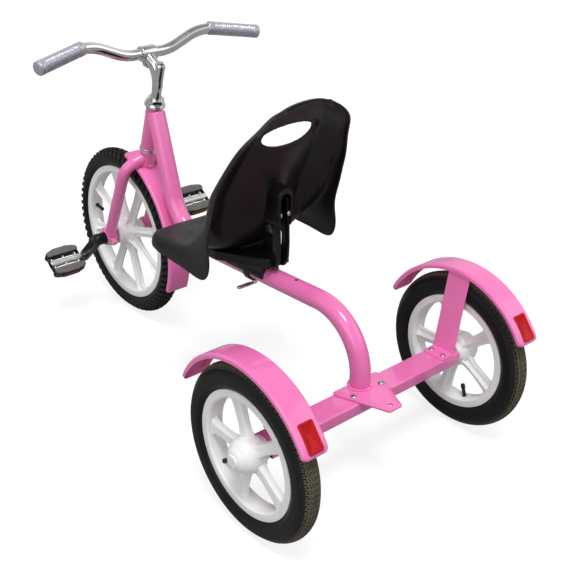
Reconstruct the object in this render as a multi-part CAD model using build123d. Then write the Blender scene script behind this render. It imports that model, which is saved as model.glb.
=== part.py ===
from build123d import *
import os
from math import atan2, cos, degrees, radians, sin, tan

# A youth tricycle with direct front drive, in millimetres. +X is forward, +Y is the rider's
# left and +Z is up. While it is being built, x = 0 is the rear axle and z = 0 the ground;
# save() then moves each piece so that x = 0 is the middle of the overall length.

# Layout
wheelbase = 787.5
half_track = 256.0              # rear wheel's middle plane from the centre line
front_radius = 197.0            # outer radius of the 16 in front tyre
rear_radius = 159.0             # outer radius of the 12-1/2 in rear tyre
head_tilt = 18.0                # steering axis, degrees back from the vertical
head_setback = 138.5            # head tube's top end behind the front axle
head_rise = 335.0               # and above it
running_gap = 0.05              # radial clearance of every turning or sliding fit
face_gap = 0.4                  # between faces of pieces that move past each other

# Main tube and rear beam
tube_radius = 19.05
tube_wall = 1.6
tube_bend = 108.0               # centre-line radius of both bends
tube_slope = 4.0                # fall of the straight run towards the front, degrees
tube_front_lean = 17.5          # front part, degrees back from the vertical
tube_foot_x = 12.5
tube_run_rise = 150.3           # straight run above the rear axle, carried back to tube_foot_x
tube_corner_setback = 82.0      # where the run meets the front part's line, behind the head
tube_top_drop = 12.0            # front part's end below the head tube's top
beam_depth = 50.8               # along X
beam_height = 25.4
beam_wall = 1.6
beam_corner = 4.0
beam_clearance = 1.5            # from the beam's end face to the rear hub
plug_depth = 12.0               # axle plug inside the beam's end
index_pitch = 63.5              # seat position holes in the top of the main tube
index_count = 3
index_hole_radius = 4.0
index_first_x = 190.0

# Foot plate with the hitch hole
plate_thick = 4.0
plate_front_half = 58.0
plate_tail_half = 15.5
plate_tail_x = -79.0
plate_front_overhang = 1.1      # ahead of the beam's front face
plate_corner = 6.0
hitch_x = -65.0
hitch_radius = 4.0

# Head tube, headset and steerer
steerer_radius = 12.7
steerer_wall = 1.6
head_room = 2.3                 # between the steerer and the head tube's bore
head_wall = 2.0
head_length = 106.0
cup_overhang = 5.0              # upper cup beyond the head tube
cup_height = 9.0
cup_edge = 2.0
cup_skirt = 8.0                 # depth of both cups' skirts inside the head tube
ring_overhang = 2.0
ring_height = 4.0
locknut_wall = 3.3              # at the middle of each flat
locknut_height = 9.0

# Fork
leg_radius = 12.7
leg_wall = 1.5
leg_half_gap = 51.0             # leg's centre line from the middle plane at the axle
leg_bend = 40.0
leg_root = 20.0                 # leg's start below the head tube, along the steering axis
leg_knee = 22.0                 # corner of the leg's line below its start
crown_height = 40.0
housing_wall = 9.95             # bearing housing at each leg's end
housing_length = 26.0
hub_side_gap = 4.0              # from the housing to the front hub
lobe_reach = 20.0
lobe_radius = 7.0
lobe_thick = 12.0

# Stem and handlebar
bar_radius = 11.1
bar_wall = 1.5
quill_inside = 45.0             # quill's length inside the steerer
quill_top = 98.0                # quill's end above the head tube, along the steering axis
quill_edge = 2.5
neck_radius = 9.5
neck_drop = 10.0                # arm's centre line below the quill's end
bar_setback = 120.5             # bar's middle behind the front axle
bar_height = 440.0              # and above it
bar_rise = 34.0
bar_flat_half = 52.0
bar_knee_half = 132.0
bar_end_half = 259.0
bar_end_back = 34.0
bar_end_drop = 18.0
bar_bend = 45.0
clamp_wall = 4.4
clamp_length = 34.0
grip_wall = 3.0
grip_length = 117.0
grip_end_wall = 3.0

# Wheels
tyre_wall = 3.6
side_sag = 4.0                  # widest point, below the sidewall's middle
shoulder_reach = 0.74           # tread's edge, as a share of the tyre's half width
shoulder_drop = 9.0
shoulder_lean = (0.7, 0.8)      # outward direction at the tread's edge
tyre_overhang = 5.2             # tyre's side beyond the rim's flange
rear_tyre_half = 22.2
rear_tyre_depth = 43.0          # from the tread in to the flange's edge
rear_hub_radius = 23.0
rear_hub_edge = 5.0
rear_hub_in = 22.5              # inner hub face, inboard of the wheel's middle plane
rear_hub_out = 32.0
rear_cap_out = 44.0
rear_cap_radius = 12.0
rear_cap_wall = 3.0
rear_axle_radius = 6.0
rear_axle_inside = 60.0         # rod's length inside the beam
rear_axle_beyond = 6.0          # rod's end beyond the hub's outer face
front_tyre_half = 21.5
front_tyre_depth = 39.0
front_hub_radius = 27.0
rim_wall = 4.0
rim_depth = 16.0                # from the flange's edge in to the spoke roots
spoke_count = 5
spoke_thick = 16.0
spoke_root_half = 15.0
spoke_waist_half = 10.5
spoke_foot_half = 19.0
front_spoke_turn = 12.0         # first spoke's angle from straight up

# Cranks and pedals
axle_radius = 8.0
crank_length = 93.0
crank_angle = -44.0             # left crank, degrees above straight ahead
boss_wall = 5.5
boss_out = 89.0                 # boss's outer face, from the middle plane
boss_cap = 4.0                  # closed end of the boss beyond the axle
crank_thick = 10.0
crank_half_width = 9.0
eye_wall = 4.5
spindle_radius = 6.0
pedal_gap = 5.0                 # from the crank to the pads' ends
pedal_length = 82.0
pedal_tilt = 35.0               # both pedals at rest, front edge up
barrel_wall = 2.5
barrel_inset = 3.0              # barrel's ends inside the pads' ends
pad_spacing = 49.0
pad_width = 20.0
pad_thick = 22.0
pad_corner = 8.0
cage_plate = 3.0
cage_height = 14.0

# Fenders
fender_half = 25.3
fender_thick = 1.5
fender_lip = 9.0                # depth of the turned-down edge
fender_corner = 3.0             # bevel between the strip and its lip
rear_fender_gap = 21.0          # from the tread to the strip's outer face
rear_fender_from = 24.0         # degrees round the wheel from straight ahead
rear_fender_to = 151.0
front_fender_gap = 16.0
front_fender_lift = 5.0         # strip's centre above the front axle
front_fender_half = 27.0
front_fender_from = 103.0
front_fender_to = 202.3
strap_width = 50.0
strap_thick = 2.5
strap_inset = 20.5              # bend between foot and upright, inside the beam's end
strap_foot_length = 31.0
strap_bend = 5.0
reflector_from = 133.0
reflector_to = 149.0
reflector_half = 14.7
reflector_thick = 2.5

# Seat: places are forward of the slider's clamp and above the main tube's centre line there
seat_wall = 4.0
seat_spans = 32                 # spans across the shell's face, and along it between two rows
seat_row_spans = 2
seat_tolerance = 0.2            # of the smooth face against its rows
seat_crease = 0.42              # shares of the half width where the face folds and turns over
seat_crest = 0.68
seat_rows = [
    # centre x, z; crease x, y, z; crest x, y, z; free edge x, y, z
    ((142, 48), (142, 84, 48), (140, 120, 47), (136, 141, 45)),
    ((136, 66), (136, 84, 67), (131, 129, 68), (122, 148, 47)),
    ((110, 66), (110, 85, 71), (108, 134, 72), (98, 151, 45)),
    ((83, 62), (83, 86, 70), (81, 136, 73), (72, 151, 44)),
    ((33, 52), (33, 88, 64), (29, 138, 79), (0, 152, 43)),
    ((1, 57), (3, 88, 68), (1, 139, 94), (-48, 152, 46)),
    ((-17, 82), (-12, 88, 87), (-18, 138, 115), (-62, 151, 78)),
    ((-25, 114), (-14, 88, 122), (-36, 138, 141), (-58, 150, 118)),
    ((-34, 148), (-19, 88, 152), (-49, 138, 169), (-68, 149, 163)),
    ((-46, 187), (-31, 88, 190), (-58, 138, 200), (-77, 148, 198)),
    ((-67, 234), (-54, 86, 232), (-75, 132, 234), (-89, 143, 233)),
    ((-89, 282), (-82, 78, 282), (-96, 116, 280), (-108, 127, 279)),
    ((-114, 326), (-110, 64, 324), (-115, 102, 311), (-126, 113, 312)),
    ((-129, 352), (-127, 46, 347), (-126, 84, 332), (-137, 93, 335)),
    ((-139, 367), (-136, 36, 362), (-131, 62, 350), (-141, 70, 352)),
    ((-152, 371), (-148, 26, 368), (-144, 44, 362), (-150, 50, 361)),
]
seat_hole_x = -98.0
seat_hole_z = 299.0
seat_hole_half = 57.0
seat_hole_height = 34.0
seat_hole_slope = 0.45          # rise of the hole's axis per unit forward
hump_z = 166.0                  # moulded boss behind the back, round the rails' upper ends
hump_height = 104.0
hump_width = 56.0
hump_x = -92.0                  # its rear face
hump_depth = 72.0
hump_taper = 12.0
hump_root = (-22.0, 114.0)      # where it stands on the back, and how far the back leans there
hump_lean = 19.0
channel_top = 187.0             # slot in the boss that the rails run up into
channel_floor_x = -60.0
slider_back = 52.0              # saddle's ends from the clamp
slider_ahead = 60.0
slider_wall = 4.0
slider_half_width = 20.0
band_width = 16.0               # ring round the tube at the clamp
rail_half = 8.0
rail_thick = 5.0
rail_foot = [(-52, 31), (-66, 32), (-78, 54), (-90, 86), (-88, 132)]
rail_head = [(-84, 176), (channel_floor_x, 176), (channel_floor_x, 120), (-52, 100)]
bracket_outline = [(-79, 27), (30, 70), (68, 70), (68, -70), (30, -70), (-79, -27)]
bracket_top = 50.0              # above the main tube's centre line
bracket_depth = 20.0
bracket_wall = 3.0
pad_half = 30.0                 # block between the bracket and the pan
pad_ahead = 66.0
pad_height = 10.0
pad_sink = 14.0
lever_drop = 4.0
lever_length = 58.0
lever_width = 11.0
lever_thick = 4.0
lever_bolt_radius = 4.0

origin_x = (wheelbase + front_radius - rear_radius) / 2
head_top_x = wheelbase - head_setback
head_top_z = front_radius + head_rise
head_radius = steerer_radius + head_room + head_wall
quill_radius = steerer_radius - steerer_wall
bar_x = wheelbase - bar_setback
bar_z = front_radius + bar_height
beam_end = half_track - rear_hub_in - beam_clearance
rear_flange_radius = rear_radius - rear_tyre_depth
front_flange_radius = front_radius - front_tyre_depth
rear_flange_half = rear_tyre_half - tyre_overhang
front_flange_half = front_tyre_half - tyre_overhang
rear_fender_radius = rear_radius + rear_fender_gap
front_fender_radius = front_radius + front_fender_gap
front_fender_z = front_radius + front_fender_lift
slider_x = index_first_x + (index_count - 1) * index_pitch
head_axis_dir = Vector(-sin(radians(head_tilt)), 0, cos(radians(head_tilt)))
beam_top = rear_radius + beam_height / 2
plate_top = beam_top + plate_thick
bearing_radius = axle_radius + running_gap
housing_radius = bearing_radius + housing_wall
front_hub_half = leg_half_gap - housing_length / 2 - hub_side_gap
boss_in = leg_half_gap + housing_length / 2 + face_gap
pedal_in = boss_out + pedal_gap
pedal_out = pedal_in + pedal_length
strap_foot_half = beam_end - strap_inset
upright = Plane(origin=(0, 0, 0), x_dir=(0, 1, 0), z_dir=(1, 0, 0))


def save(name, part):
    export_step(Pos(-origin_x, 0, 0) * part, f"parts/{name}.step")


def head_point(distance):
    """Point on the steering axis, measured up from the head tube's lower end."""
    low = Vector(head_top_x, 0, head_top_z) - head_axis_dir * head_length
    return low + head_axis_dir * distance


def head_plane(distance):
    return Plane(origin=head_point(distance), x_dir=(0, 1, 0), z_dir=head_axis_dir)


def head_cylinder(low, high, radius):
    return extrude(head_plane(low) * Circle(radius), high - low)


def cross_cylinder(x, z, radius, y_low, y_high):
    """Cylinder along Y from y_low to y_high."""
    plane = Plane(origin=(x, y_low, z), x_dir=(1, 0, 0), z_dir=(0, 1, 0))
    return extrude(plane * Circle(radius), y_high - y_low)


def pipe(path, radius, wall):
    """Round tube along a path."""
    start = path ^ 0
    outer = sweep(start * Circle(radius), path=path)
    return outer - sweep(start * Circle(radius - wall), path=path)


def swung(section, x, z):
    """Revolve a section, drawn as (y, radius), about an axle."""
    return Pos(x, 0, z) * revolve(upright * section, Axis.Y)


def mirrored(part):
    return mirror(part, about=Plane.XZ)


def largest(part):
    return max(part.solids(), key=lambda solid: solid.volume)


# ---------------------------------------------------------------- frame
def run_point(x):
    """Centre of the main tube's straight run."""
    fall = (x - tube_foot_x) * tan(radians(tube_slope))
    return Vector(x, 0, rear_radius + tube_run_rise - fall)


def run_plane(x):
    direction = (cos(radians(tube_slope)), 0, -sin(radians(tube_slope)))
    return Plane(origin=run_point(x), x_dir=(0, 1, 0), z_dir=direction)


def tube_path():
    corner = run_point(head_top_x - tube_corner_setback)
    rise = head_top_z - tube_top_drop - corner.Z
    top = corner + Vector(rise * tan(radians(tube_front_lean)), 0, rise)
    foot = Vector(tube_foot_x, 0, plate_top)
    return FilletPolyline(top, corner, run_point(tube_foot_x), foot, radius=tube_bend)


def main_tube():
    tube = pipe(tube_path(), tube_radius, tube_wall)
    tube = largest(tube - head_cylinder(-head_length, 2 * head_length, head_radius))
    for index in range(index_count):
        spot = run_point(index_first_x + index * index_pitch)
        tube -= Pos(spot) * Cylinder(index_hole_radius, 2 * tube_radius,
                                     align=(Align.CENTER, Align.CENTER, Align.MIN))
    return tube


def head_tube():
    bore = head_cylinder(0, head_length, head_radius - head_wall)
    return head_cylinder(0, head_length, head_radius) - bore


def upper_cup():
    cup = head_cylinder(head_length, head_length + cup_height, head_radius + cup_overhang)
    cup = chamfer(cup.edges().filter_by(GeomType.CIRCLE), cup_edge)
    skirt = head_cylinder(head_length - cup_skirt, head_length, head_radius - head_wall)
    return cup + skirt - head_cylinder(0, 2 * head_length, steerer_radius + running_gap)


def lower_ring():
    ring = head_cylinder(-ring_height, 0, head_radius + ring_overhang)
    skirt = head_cylinder(0, cup_skirt, head_radius - head_wall)
    return ring + skirt - head_cylinder(-head_length, head_length, steerer_radius + running_gap)


def beam_section(wall, y):
    """Beam's outline at y, taken in by a wall's thickness."""
    shape = RectangleRounded(beam_depth - 2 * wall, beam_height - 2 * wall, beam_corner - wall)
    return Plane.XZ.offset(-y) * Pos(0, rear_radius) * shape


def rear_beam():
    outer = extrude(beam_section(0, -beam_end), -2 * beam_end)
    return outer - extrude(beam_section(beam_wall, -beam_end), -2 * beam_end)


def foot_plate():
    front = beam_depth / 2 + plate_front_overhang
    outline = make_face(Polyline(
        (front, plate_front_half), (plate_tail_x, plate_tail_half),
        (plate_tail_x, -plate_tail_half), (front, -plate_front_half), close=True))
    outline = fillet(outline.vertices(), plate_corner)
    plate = extrude(Plane.XY.offset(beam_top) * outline, plate_thick)
    return plate - Pos(hitch_x, 0, beam_top) * Cylinder(hitch_radius, 3 * plate_thick)


def left_stub_axle():
    """Axle rod, with the plug that closes the beam's end."""
    plug = extrude(beam_section(beam_wall, beam_end), plug_depth)
    rod_end = half_track + rear_hub_out + rear_axle_beyond
    return plug + cross_cylinder(0, rear_radius, rear_axle_radius, beam_end - rear_axle_inside, rod_end)


# ---------------------------------------------------------------- wheels
def tyre(radius, half, bed, flange_half, flange_radius):
    """Open-beaded tyre section; its feet stand on the rim's bed."""
    foot = flange_half - rim_wall + 1
    side = (radius + flange_radius) / 2 - side_sag
    edge, edge_radius = shoulder_reach * half, radius - shoulder_drop
    inner_edge, inner_radius = edge - shoulder_lean[0] * tyre_wall, edge_radius - shoulder_lean[1] * tyre_wall
    inner_foot, inner_half = foot - tyre_wall, half - tyre_wall
    outline = [
        Line((foot, bed), (foot, flange_radius)),
        ThreePointArc((foot, flange_radius), (half, side), (edge, edge_radius)),
        ThreePointArc((edge, edge_radius), (0, radius), (-edge, edge_radius)),
        ThreePointArc((-edge, edge_radius), (-half, side), (-foot, flange_radius)),
        Line((-foot, flange_radius), (-foot, bed)),
        Line((-foot, bed), (-inner_foot, bed)),
        Line((-inner_foot, bed), (-inner_foot, flange_radius)),
        ThreePointArc((-inner_foot, flange_radius), (-inner_half, side), (-inner_edge, inner_radius)),
        ThreePointArc((-inner_edge, inner_radius), (0, radius - tyre_wall), (inner_edge, inner_radius)),
        ThreePointArc((inner_edge, inner_radius), (inner_half, side), (inner_foot, flange_radius)),
        Line((inner_foot, flange_radius), (inner_foot, bed)),
        Line((inner_foot, bed), (foot, bed)),
    ]
    return make_face(outline)


def rim_section(flange_half, flange_radius):
    """Channel that holds the tyre's feet between two flanges."""
    inner = flange_radius - rim_depth
    bed = inner + rim_wall
    inside = flange_half - rim_wall + 1
    bevel = rim_wall - 1
    return make_face(Polyline(
        (-flange_half, flange_radius), (-inside, flange_radius), (-inside, bed), (inside, bed),
        (inside, flange_radius), (flange_half, flange_radius), (flange_half, inner + bevel),
        (flange_half - bevel, inner), (bevel - flange_half, inner), (-flange_half, inner + bevel),
        close=True))


def spoke(hub, outer, angle):
    """One cast spoke, waisted between hub and rim, pointing up before it is turned."""
    waist = (hub + outer) / 2
    outline = make_face(Polyline(
        (-spoke_root_half, hub - 3), (-spoke_waist_half, waist), (-spoke_foot_half, outer + 1),
        (spoke_foot_half, outer + 1), (spoke_waist_half, waist), (spoke_root_half, hub - 3),
        close=True))
    blade = extrude(Plane.XZ * outline, spoke_thick / 2, both=True)
    return Rot(0, angle, 0) * blade


def wheel_body(flange_half, flange_radius, hub, bore, turn):
    """Rim, spokes and hub cast in one piece, centred on the axle at the origin."""
    inner = flange_radius - rim_depth
    body = swung(rim_section(flange_half, flange_radius), 0, 0) + hub
    hub_radius = hub.bounding_box().max.Z
    for index in range(spoke_count):
        body += spoke(hub_radius, inner, turn + index * 360 / spoke_count)
    width = hub.bounding_box().max.Y - hub.bounding_box().min.Y
    return body - cross_cylinder(0, 0, bore, -width, width)


def rear_wheel_body():
    hub = cross_cylinder(0, 0, rear_hub_radius, -rear_hub_in, rear_hub_out)
    hub = fillet(hub.edges().group_by(Axis.Y)[-1], rear_hub_edge)
    body = wheel_body(rear_flange_half, rear_flange_radius, hub, rear_axle_radius + running_gap, 0)
    return Pos(0, half_track, rear_radius) * body


def rear_tyre():
    bed = rear_flange_radius - rim_depth + rim_wall
    section = tyre(rear_radius, rear_tyre_half, bed, rear_flange_half, rear_flange_radius)
    return Pos(0, half_track, 0) * swung(section, 0, rear_radius)


def rear_hub_cap():
    low = half_track + rear_hub_out
    high = half_track + rear_cap_out
    cap = cross_cylinder(0, rear_radius, rear_cap_radius, low, high)
    cap = fillet(cap.edges().group_by(Axis.Y)[-1], rear_cap_wall)
    hollow = cross_cylinder(0, rear_radius, rear_cap_radius - rear_cap_wall, low, high - rear_cap_wall)
    return cap - hollow


def front_wheel_body():
    hub = cross_cylinder(0, 0, front_hub_radius, -front_hub_half, front_hub_half)
    body = wheel_body(front_flange_half, front_flange_radius, hub, axle_radius, front_spoke_turn)
    return Pos(wheelbase, 0, front_radius) * body


def front_tyre():
    bed = front_flange_radius - rim_depth + rim_wall
    section = tyre(front_radius, front_tyre_half, bed, front_flange_half, front_flange_radius)
    return swung(section, wheelbase, front_radius)


# ---------------------------------------------------------------- drive
def crank_axle():
    end = boss_out - boss_cap
    return cross_cylinder(wheelbase, front_radius, axle_radius, -end, end)


def left_crank():
    """Boss on the axle, arm and pedal spindle, along +X before it is turned."""
    boss = cross_cylinder(0, 0, axle_radius + boss_wall, boss_in, boss_out)
    bore = cross_cylinder(0, 0, axle_radius, boss_in, boss_out - boss_cap)
    arm_mid = boss_out - crank_thick / 2
    arm = Pos(crank_length / 2, arm_mid, 0) * Box(crank_length, crank_thick, 2 * crank_half_width)
    eye = cross_cylinder(crank_length, 0, spindle_radius + eye_wall, boss_out - crank_thick, boss_out)
    spindle = cross_cylinder(crank_length, 0, spindle_radius, boss_out, pedal_out - 2 * barrel_inset)
    crank = boss + arm + eye + spindle - bore
    return Pos(wheelbase, 0, front_radius) * Rot(0, -crank_angle, 0) * crank


def at_pedal(part):
    """Turn a piece made round the origin to the pedals' rest tilt and set it on the left spindle."""
    turn = radians(crank_angle)
    x = wheelbase + crank_length * cos(turn)
    z = front_radius + crank_length * sin(turn)
    return Pos(x, 0, z) * Rot(0, -pedal_tilt, 0) * part


def left_pedal_cage():
    """Barrel on the spindle, with a plate near each end that reaches the pads."""
    low = pedal_in + barrel_inset
    high = pedal_out - barrel_inset
    cage = cross_cylinder(0, 0, spindle_radius + barrel_wall, low, high)
    plate = Box(pad_spacing - pad_width, cage_plate, cage_height)
    for y in (low + cage_plate / 2, high - cage_plate / 2):
        cage += Pos(0, y, 0) * plate
    return at_pedal(cage - cross_cylinder(0, 0, spindle_radius + running_gap, 0, high - barrel_inset))


def left_pedal_pads():
    pad = extrude(RectangleRounded(pad_width, pedal_length, pad_corner), pad_thick / 2, both=True)
    middle = (pedal_in + pedal_out) / 2
    pads = [Pos(side * pad_spacing / 2, middle, 0) * pad for side in (1, -1)]
    return at_pedal(Compound(pads))


def opposed(part):
    """The same piece on the right, half a turn round the crank axle."""
    flipped = mirrored(part)
    return flipped.rotate(Axis((wheelbase, 0, front_radius), (0, 1, 0)), 180)


# ---------------------------------------------------------------- fork
leg_start = head_point(-leg_root)
leg_tilt = degrees(atan2(wheelbase - leg_start.X, leg_start.Z - front_radius))


def steerer():
    low = -ring_height - face_gap
    high = head_length + cup_height + locknut_height
    bore = head_cylinder(low, high, steerer_radius - steerer_wall)
    return head_cylinder(low, high, steerer_radius) - bore


def front_fender_room(half):
    """What the front fender and its wheel take up between -half and half."""
    return cross_cylinder(wheelbase, front_fender_z, front_fender_radius, -half, half)


def fork_crown():
    top = -ring_height - face_gap
    crown = head_cylinder(top - crown_height, top, head_radius)
    return crown - front_fender_room(2 * head_radius)


def left_fork_leg():
    hub = Vector(wheelbase, leg_half_gap, front_radius)
    line = leg_start - Vector(wheelbase, 0, front_radius)
    knee = hub + line.normalized() * (line.length - leg_knee)
    leg = pipe(FilletPolyline(leg_start, knee, hub, radius=leg_bend), leg_radius, leg_wall)
    leg -= head_cylinder(-head_length, 0, head_radius)
    leg -= cross_cylinder(wheelbase, front_radius, housing_radius, 0, 2 * leg_half_gap)
    leg -= front_fender_room(front_fender_half)
    return largest(leg)


def left_bearing_housing():
    low = leg_half_gap - housing_length / 2
    housing = cross_cylinder(wheelbase, front_radius, housing_radius, low, low + housing_length)
    across = Vector(cos(radians(leg_tilt)), 0, sin(radians(leg_tilt)))
    for side in (1, -1):
        spot = Vector(wheelbase, 0, front_radius) + across * (side * lobe_reach)
        housing += cross_cylinder(spot.X, spot.Z, lobe_radius, leg_half_gap - lobe_thick / 2,
                                  leg_half_gap + lobe_thick / 2)
    return housing - cross_cylinder(wheelbase, front_radius, bearing_radius, 0, 2 * leg_half_gap)


def locknut():
    low = head_length + cup_height + face_gap
    outline = RegularPolygon(steerer_radius + locknut_wall, 6, major_radius=False)
    nut = extrude(head_plane(low) * outline, locknut_height)
    return nut - head_cylinder(low, low + locknut_height, steerer_radius)


def stem():
    """Quill in the steerer, with an arm from its shoulder to the bar's clamp."""
    quill = head_cylinder(head_length + cup_height - quill_inside, head_length + quill_top, quill_radius)
    quill = chamfer(quill.edges().group_by(Axis.Z)[-1], quill_edge)
    neck = Polyline(head_point(head_length + quill_top - neck_drop), (bar_x, 0, bar_z))
    arm = sweep((neck ^ 0) * Circle(neck_radius), path=neck)
    half = clamp_length / 2
    clamp = cross_cylinder(bar_x, bar_z, bar_radius + clamp_wall, -half, half)
    return quill + arm + clamp - cross_cylinder(bar_x, bar_z, bar_radius, -half, half)


def bar_knee():
    return Vector(bar_x, bar_knee_half, bar_z + bar_rise)


def bar_tip():
    """Centre of the bare bar's end, inside the grip."""
    return bar_knee() + Vector(-bar_end_back, bar_end_half - grip_end_wall - bar_knee_half, -bar_end_drop)


def handlebar():
    path = FilletPolyline((bar_x, 0, bar_z), (bar_x, bar_flat_half, bar_z), bar_knee(), bar_tip(),
                          radius=bar_bend)
    half = pipe(path, bar_radius, bar_wall)
    return half + mirrored(half)


def left_grip():
    direction = (bar_tip() - bar_knee()).normalized()
    plane = Plane(origin=bar_tip() + direction * grip_end_wall, z_dir=-direction)
    grip = extrude(plane * Circle(bar_radius + grip_wall), grip_length)
    return grip - extrude(plane.offset(grip_end_wall) * Circle(bar_radius), grip_length)


# ---------------------------------------------------------------- fenders
def fender(radius, half, start, stop, centre_x, centre_z):
    """Flat strip with two short turned-down lips, rolled round the wheel."""
    lip, bevel, wall = radius - fender_lip, fender_corner, fender_thick
    inside = half - wall
    inner_bevel = bevel + 0.4 * wall        # keeps the wall even across the bevel
    section = make_face(Polyline(
        (-half, lip), (-half, radius - bevel), (-half + bevel, radius), (half - bevel, radius),
        (half, radius - bevel), (half, lip), (inside, lip), (inside, radius - inner_bevel),
        (half - inner_bevel, radius - wall), (inner_bevel - half, radius - wall),
        (-inside, radius - inner_bevel), (-inside, lip), close=True))
    strip = revolve(upright * section, Axis.Y, revolution_arc=stop - start)
    return Pos(centre_x, 0, centre_z) * Rot(0, 90 - stop, 0) * strip


def left_rear_fender():
    strip = fender(rear_fender_radius, fender_half, rear_fender_from, rear_fender_to, 0, rear_radius)
    return Pos(0, half_track, 0) * strip


def front_fender():
    return fender(front_fender_radius, front_fender_half, front_fender_from, front_fender_to,
                  wheelbase, front_fender_z)


def left_reflector():
    low = rear_fender_radius
    high = low + reflector_thick
    section = make_face(Polyline((-reflector_half, low), (-reflector_half, high),
                                 (reflector_half, high), (reflector_half, low), close=True))
    lens = revolve(upright * section, Axis.Y, revolution_arc=reflector_to - reflector_from)
    return Pos(0, half_track, rear_radius) * Rot(0, 90 - reflector_to, 0) * lens


def left_fender_strap():
    """Foot on the beam, and an upright that leans out to the fender's inner lip."""
    lip_inside = half_track - fender_half + fender_thick + strap_thick / 2
    under = rear_fender_radius - fender_thick - fender_corner
    top_z = rear_radius + (under ** 2 - (strap_width / 2) ** 2) ** 0.5 - face_gap
    foot_z = beam_top + strap_thick / 2
    line = FilletPolyline((strap_foot_half - strap_foot_length, foot_z), (strap_foot_half, foot_z),
                          (lip_inside, top_z - fender_lip), (lip_inside, top_z), radius=strap_bend)
    profile = offset(line, strap_thick / 2, side=Side.BOTH)
    plane = Plane(origin=(strap_width / 2, 0, 0), x_dir=(0, 1, 0), z_dir=(1, 0, 0))
    return extrude(plane * make_face(profile), -strap_width)


# ---------------------------------------------------------------- seat
def seat_origin():
    return run_point(slider_x)


def blend(first, second, share):
    return [low + (high - low) * share for low, high in zip(first, second)]


def seat_row(along):
    """Centre, crease, crest and free edge of the shell, on a smooth curve through the stated rows."""
    index = min(int(along), len(seat_rows) - 2)
    t = along - index
    last = len(seat_rows) - 1
    near = [seat_rows[min(max(index + step, 0), last)] for step in (-1, 0, 1, 2)]
    weights = [(2 * t * t - t - t ** 3) / 2, (2 - 5 * t * t + 3 * t ** 3) / 2,
               (t + 4 * t * t - 3 * t ** 3) / 2, (t ** 3 - t * t) / 2]
    return [[sum(weight * row[line][axis] for weight, row in zip(weights, near))
             for axis in range(len(near[0][line]))] for line in range(4)]


def seat_lines(along, lift):
    """The four lines' points, carried towards the rider, or outwards at the free edge."""
    centre, crease, crest, edge = seat_row(along)
    last = len(seat_rows) - 1
    low = seat_row(max(along - 0.1, 0))[0]
    high = seat_row(min(along + 0.1, last))[0]
    length = ((high[0] - low[0]) ** 2 + (high[1] - low[1]) ** 2) ** 0.5
    x = lift * (high[1] - low[1]) / length
    z = lift * (low[0] - high[0]) / length
    return ((centre[0] + x, 0, centre[1] + z), (crease[0] + x, crease[1], crease[2] + z),
            (crest[0] + x, crest[1] + lift / 2, crest[2] + z), (edge[0], edge[1] + lift, edge[2]))


def seat_point(along, across, lift):
    """Point of the shell's carried face; across runs from -1 at the right free edge to 1."""
    centre, crease, crest, edge = seat_lines(along, lift)
    side = abs(across)
    if side < seat_crease:
        share = side / seat_crease
        x, z = blend(centre[::2], crease[::2], share ** 2)
        y = crease[1] * share
    elif side < seat_crest:
        share = (side - seat_crease) / (seat_crest - seat_crease)
        x, z = blend(crease[::2], crest[::2], share ** 2 * (3 - 2 * share))
        y = crease[1] + (crest[1] - crease[1]) * share
    else:
        turn = radians(90 * (side - seat_crest) / (1 - seat_crest))
        x, z = blend(crest[::2], edge[::2], 1 - cos(turn))
        y = crest[1] + (edge[1] - crest[1]) * sin(turn)
    return seat_origin() + Vector(x, y if across > 0 else -y, z)


def seat_face(lift):
    """The shell's rear face, carried towards the rider by the given amount."""
    last = (len(seat_rows) - 1) * seat_row_spans
    grid = [[seat_point(row / seat_row_spans, 2 * column / seat_spans - 1, lift)
             for column in range(seat_spans + 1)] for row in range(last + 1)]
    return Face.make_surface_from_array_of_points(grid, tol=seat_tolerance)


def seat_layer(low, high):
    """Solid between two carried faces."""
    faces = [seat_face(low), seat_face(high)]
    walls = []
    for edge in faces[0].edges():
        partner = min(faces[1].edges(), key=lambda other: (other.center() - edge.center()).length)
        walls.append(Face.make_surface_from_curves(edge, partner))
    return Solid(Shell(faces + walls))


def back_plane(x):
    """Plane across the seat, with its normal pointing back from the given place."""
    return Plane(origin=seat_origin() + Vector(x, 0, 0), x_dir=(0, -1, 0), z_dir=(-1, 0, 0))


def seat_hump():
    """Boss behind the back, cut off along the back's own slope."""
    outline = Pos(0, hump_z) * SlotOverall(hump_height, hump_width, rotation=90)
    hump = extrude(back_plane(hump_x + hump_depth) * outline, hump_depth, taper=hump_taper)
    root = seat_origin() + Vector(hump_root[0], 0, hump_root[1])
    toward_rider = (cos(radians(hump_lean)), 0, sin(radians(hump_lean)))
    rider_side = Plane(origin=root, x_dir=(0, 1, 0), z_dir=toward_rider)
    hump -= extrude(rider_side * Rectangle(2 * hump_height, 4 * hump_height), 2 * hump_depth)
    channel = 2 * (rail_half + rail_thick)
    middle = (hump_z + channel_top) / 2 - hump_height / 2
    slot = SlotOverall(channel_top - hump_z + hump_height, channel, rotation=90)
    return hump - extrude(back_plane(channel_floor_x) * Pos(0, middle) * slot, hump_depth)


def seat_shell():
    origin = seat_origin() + Vector(seat_hole_x, 0, seat_hole_z)
    slot = Plane(origin=origin, x_dir=(0, 1, 0), z_dir=(1, 0, seat_hole_slope))
    hole = extrude(slot * SlotOverall(2 * seat_hole_half, seat_hole_height), seat_hole_half, both=True)
    return seat_layer(0, seat_wall) - hole + seat_hump()


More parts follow.
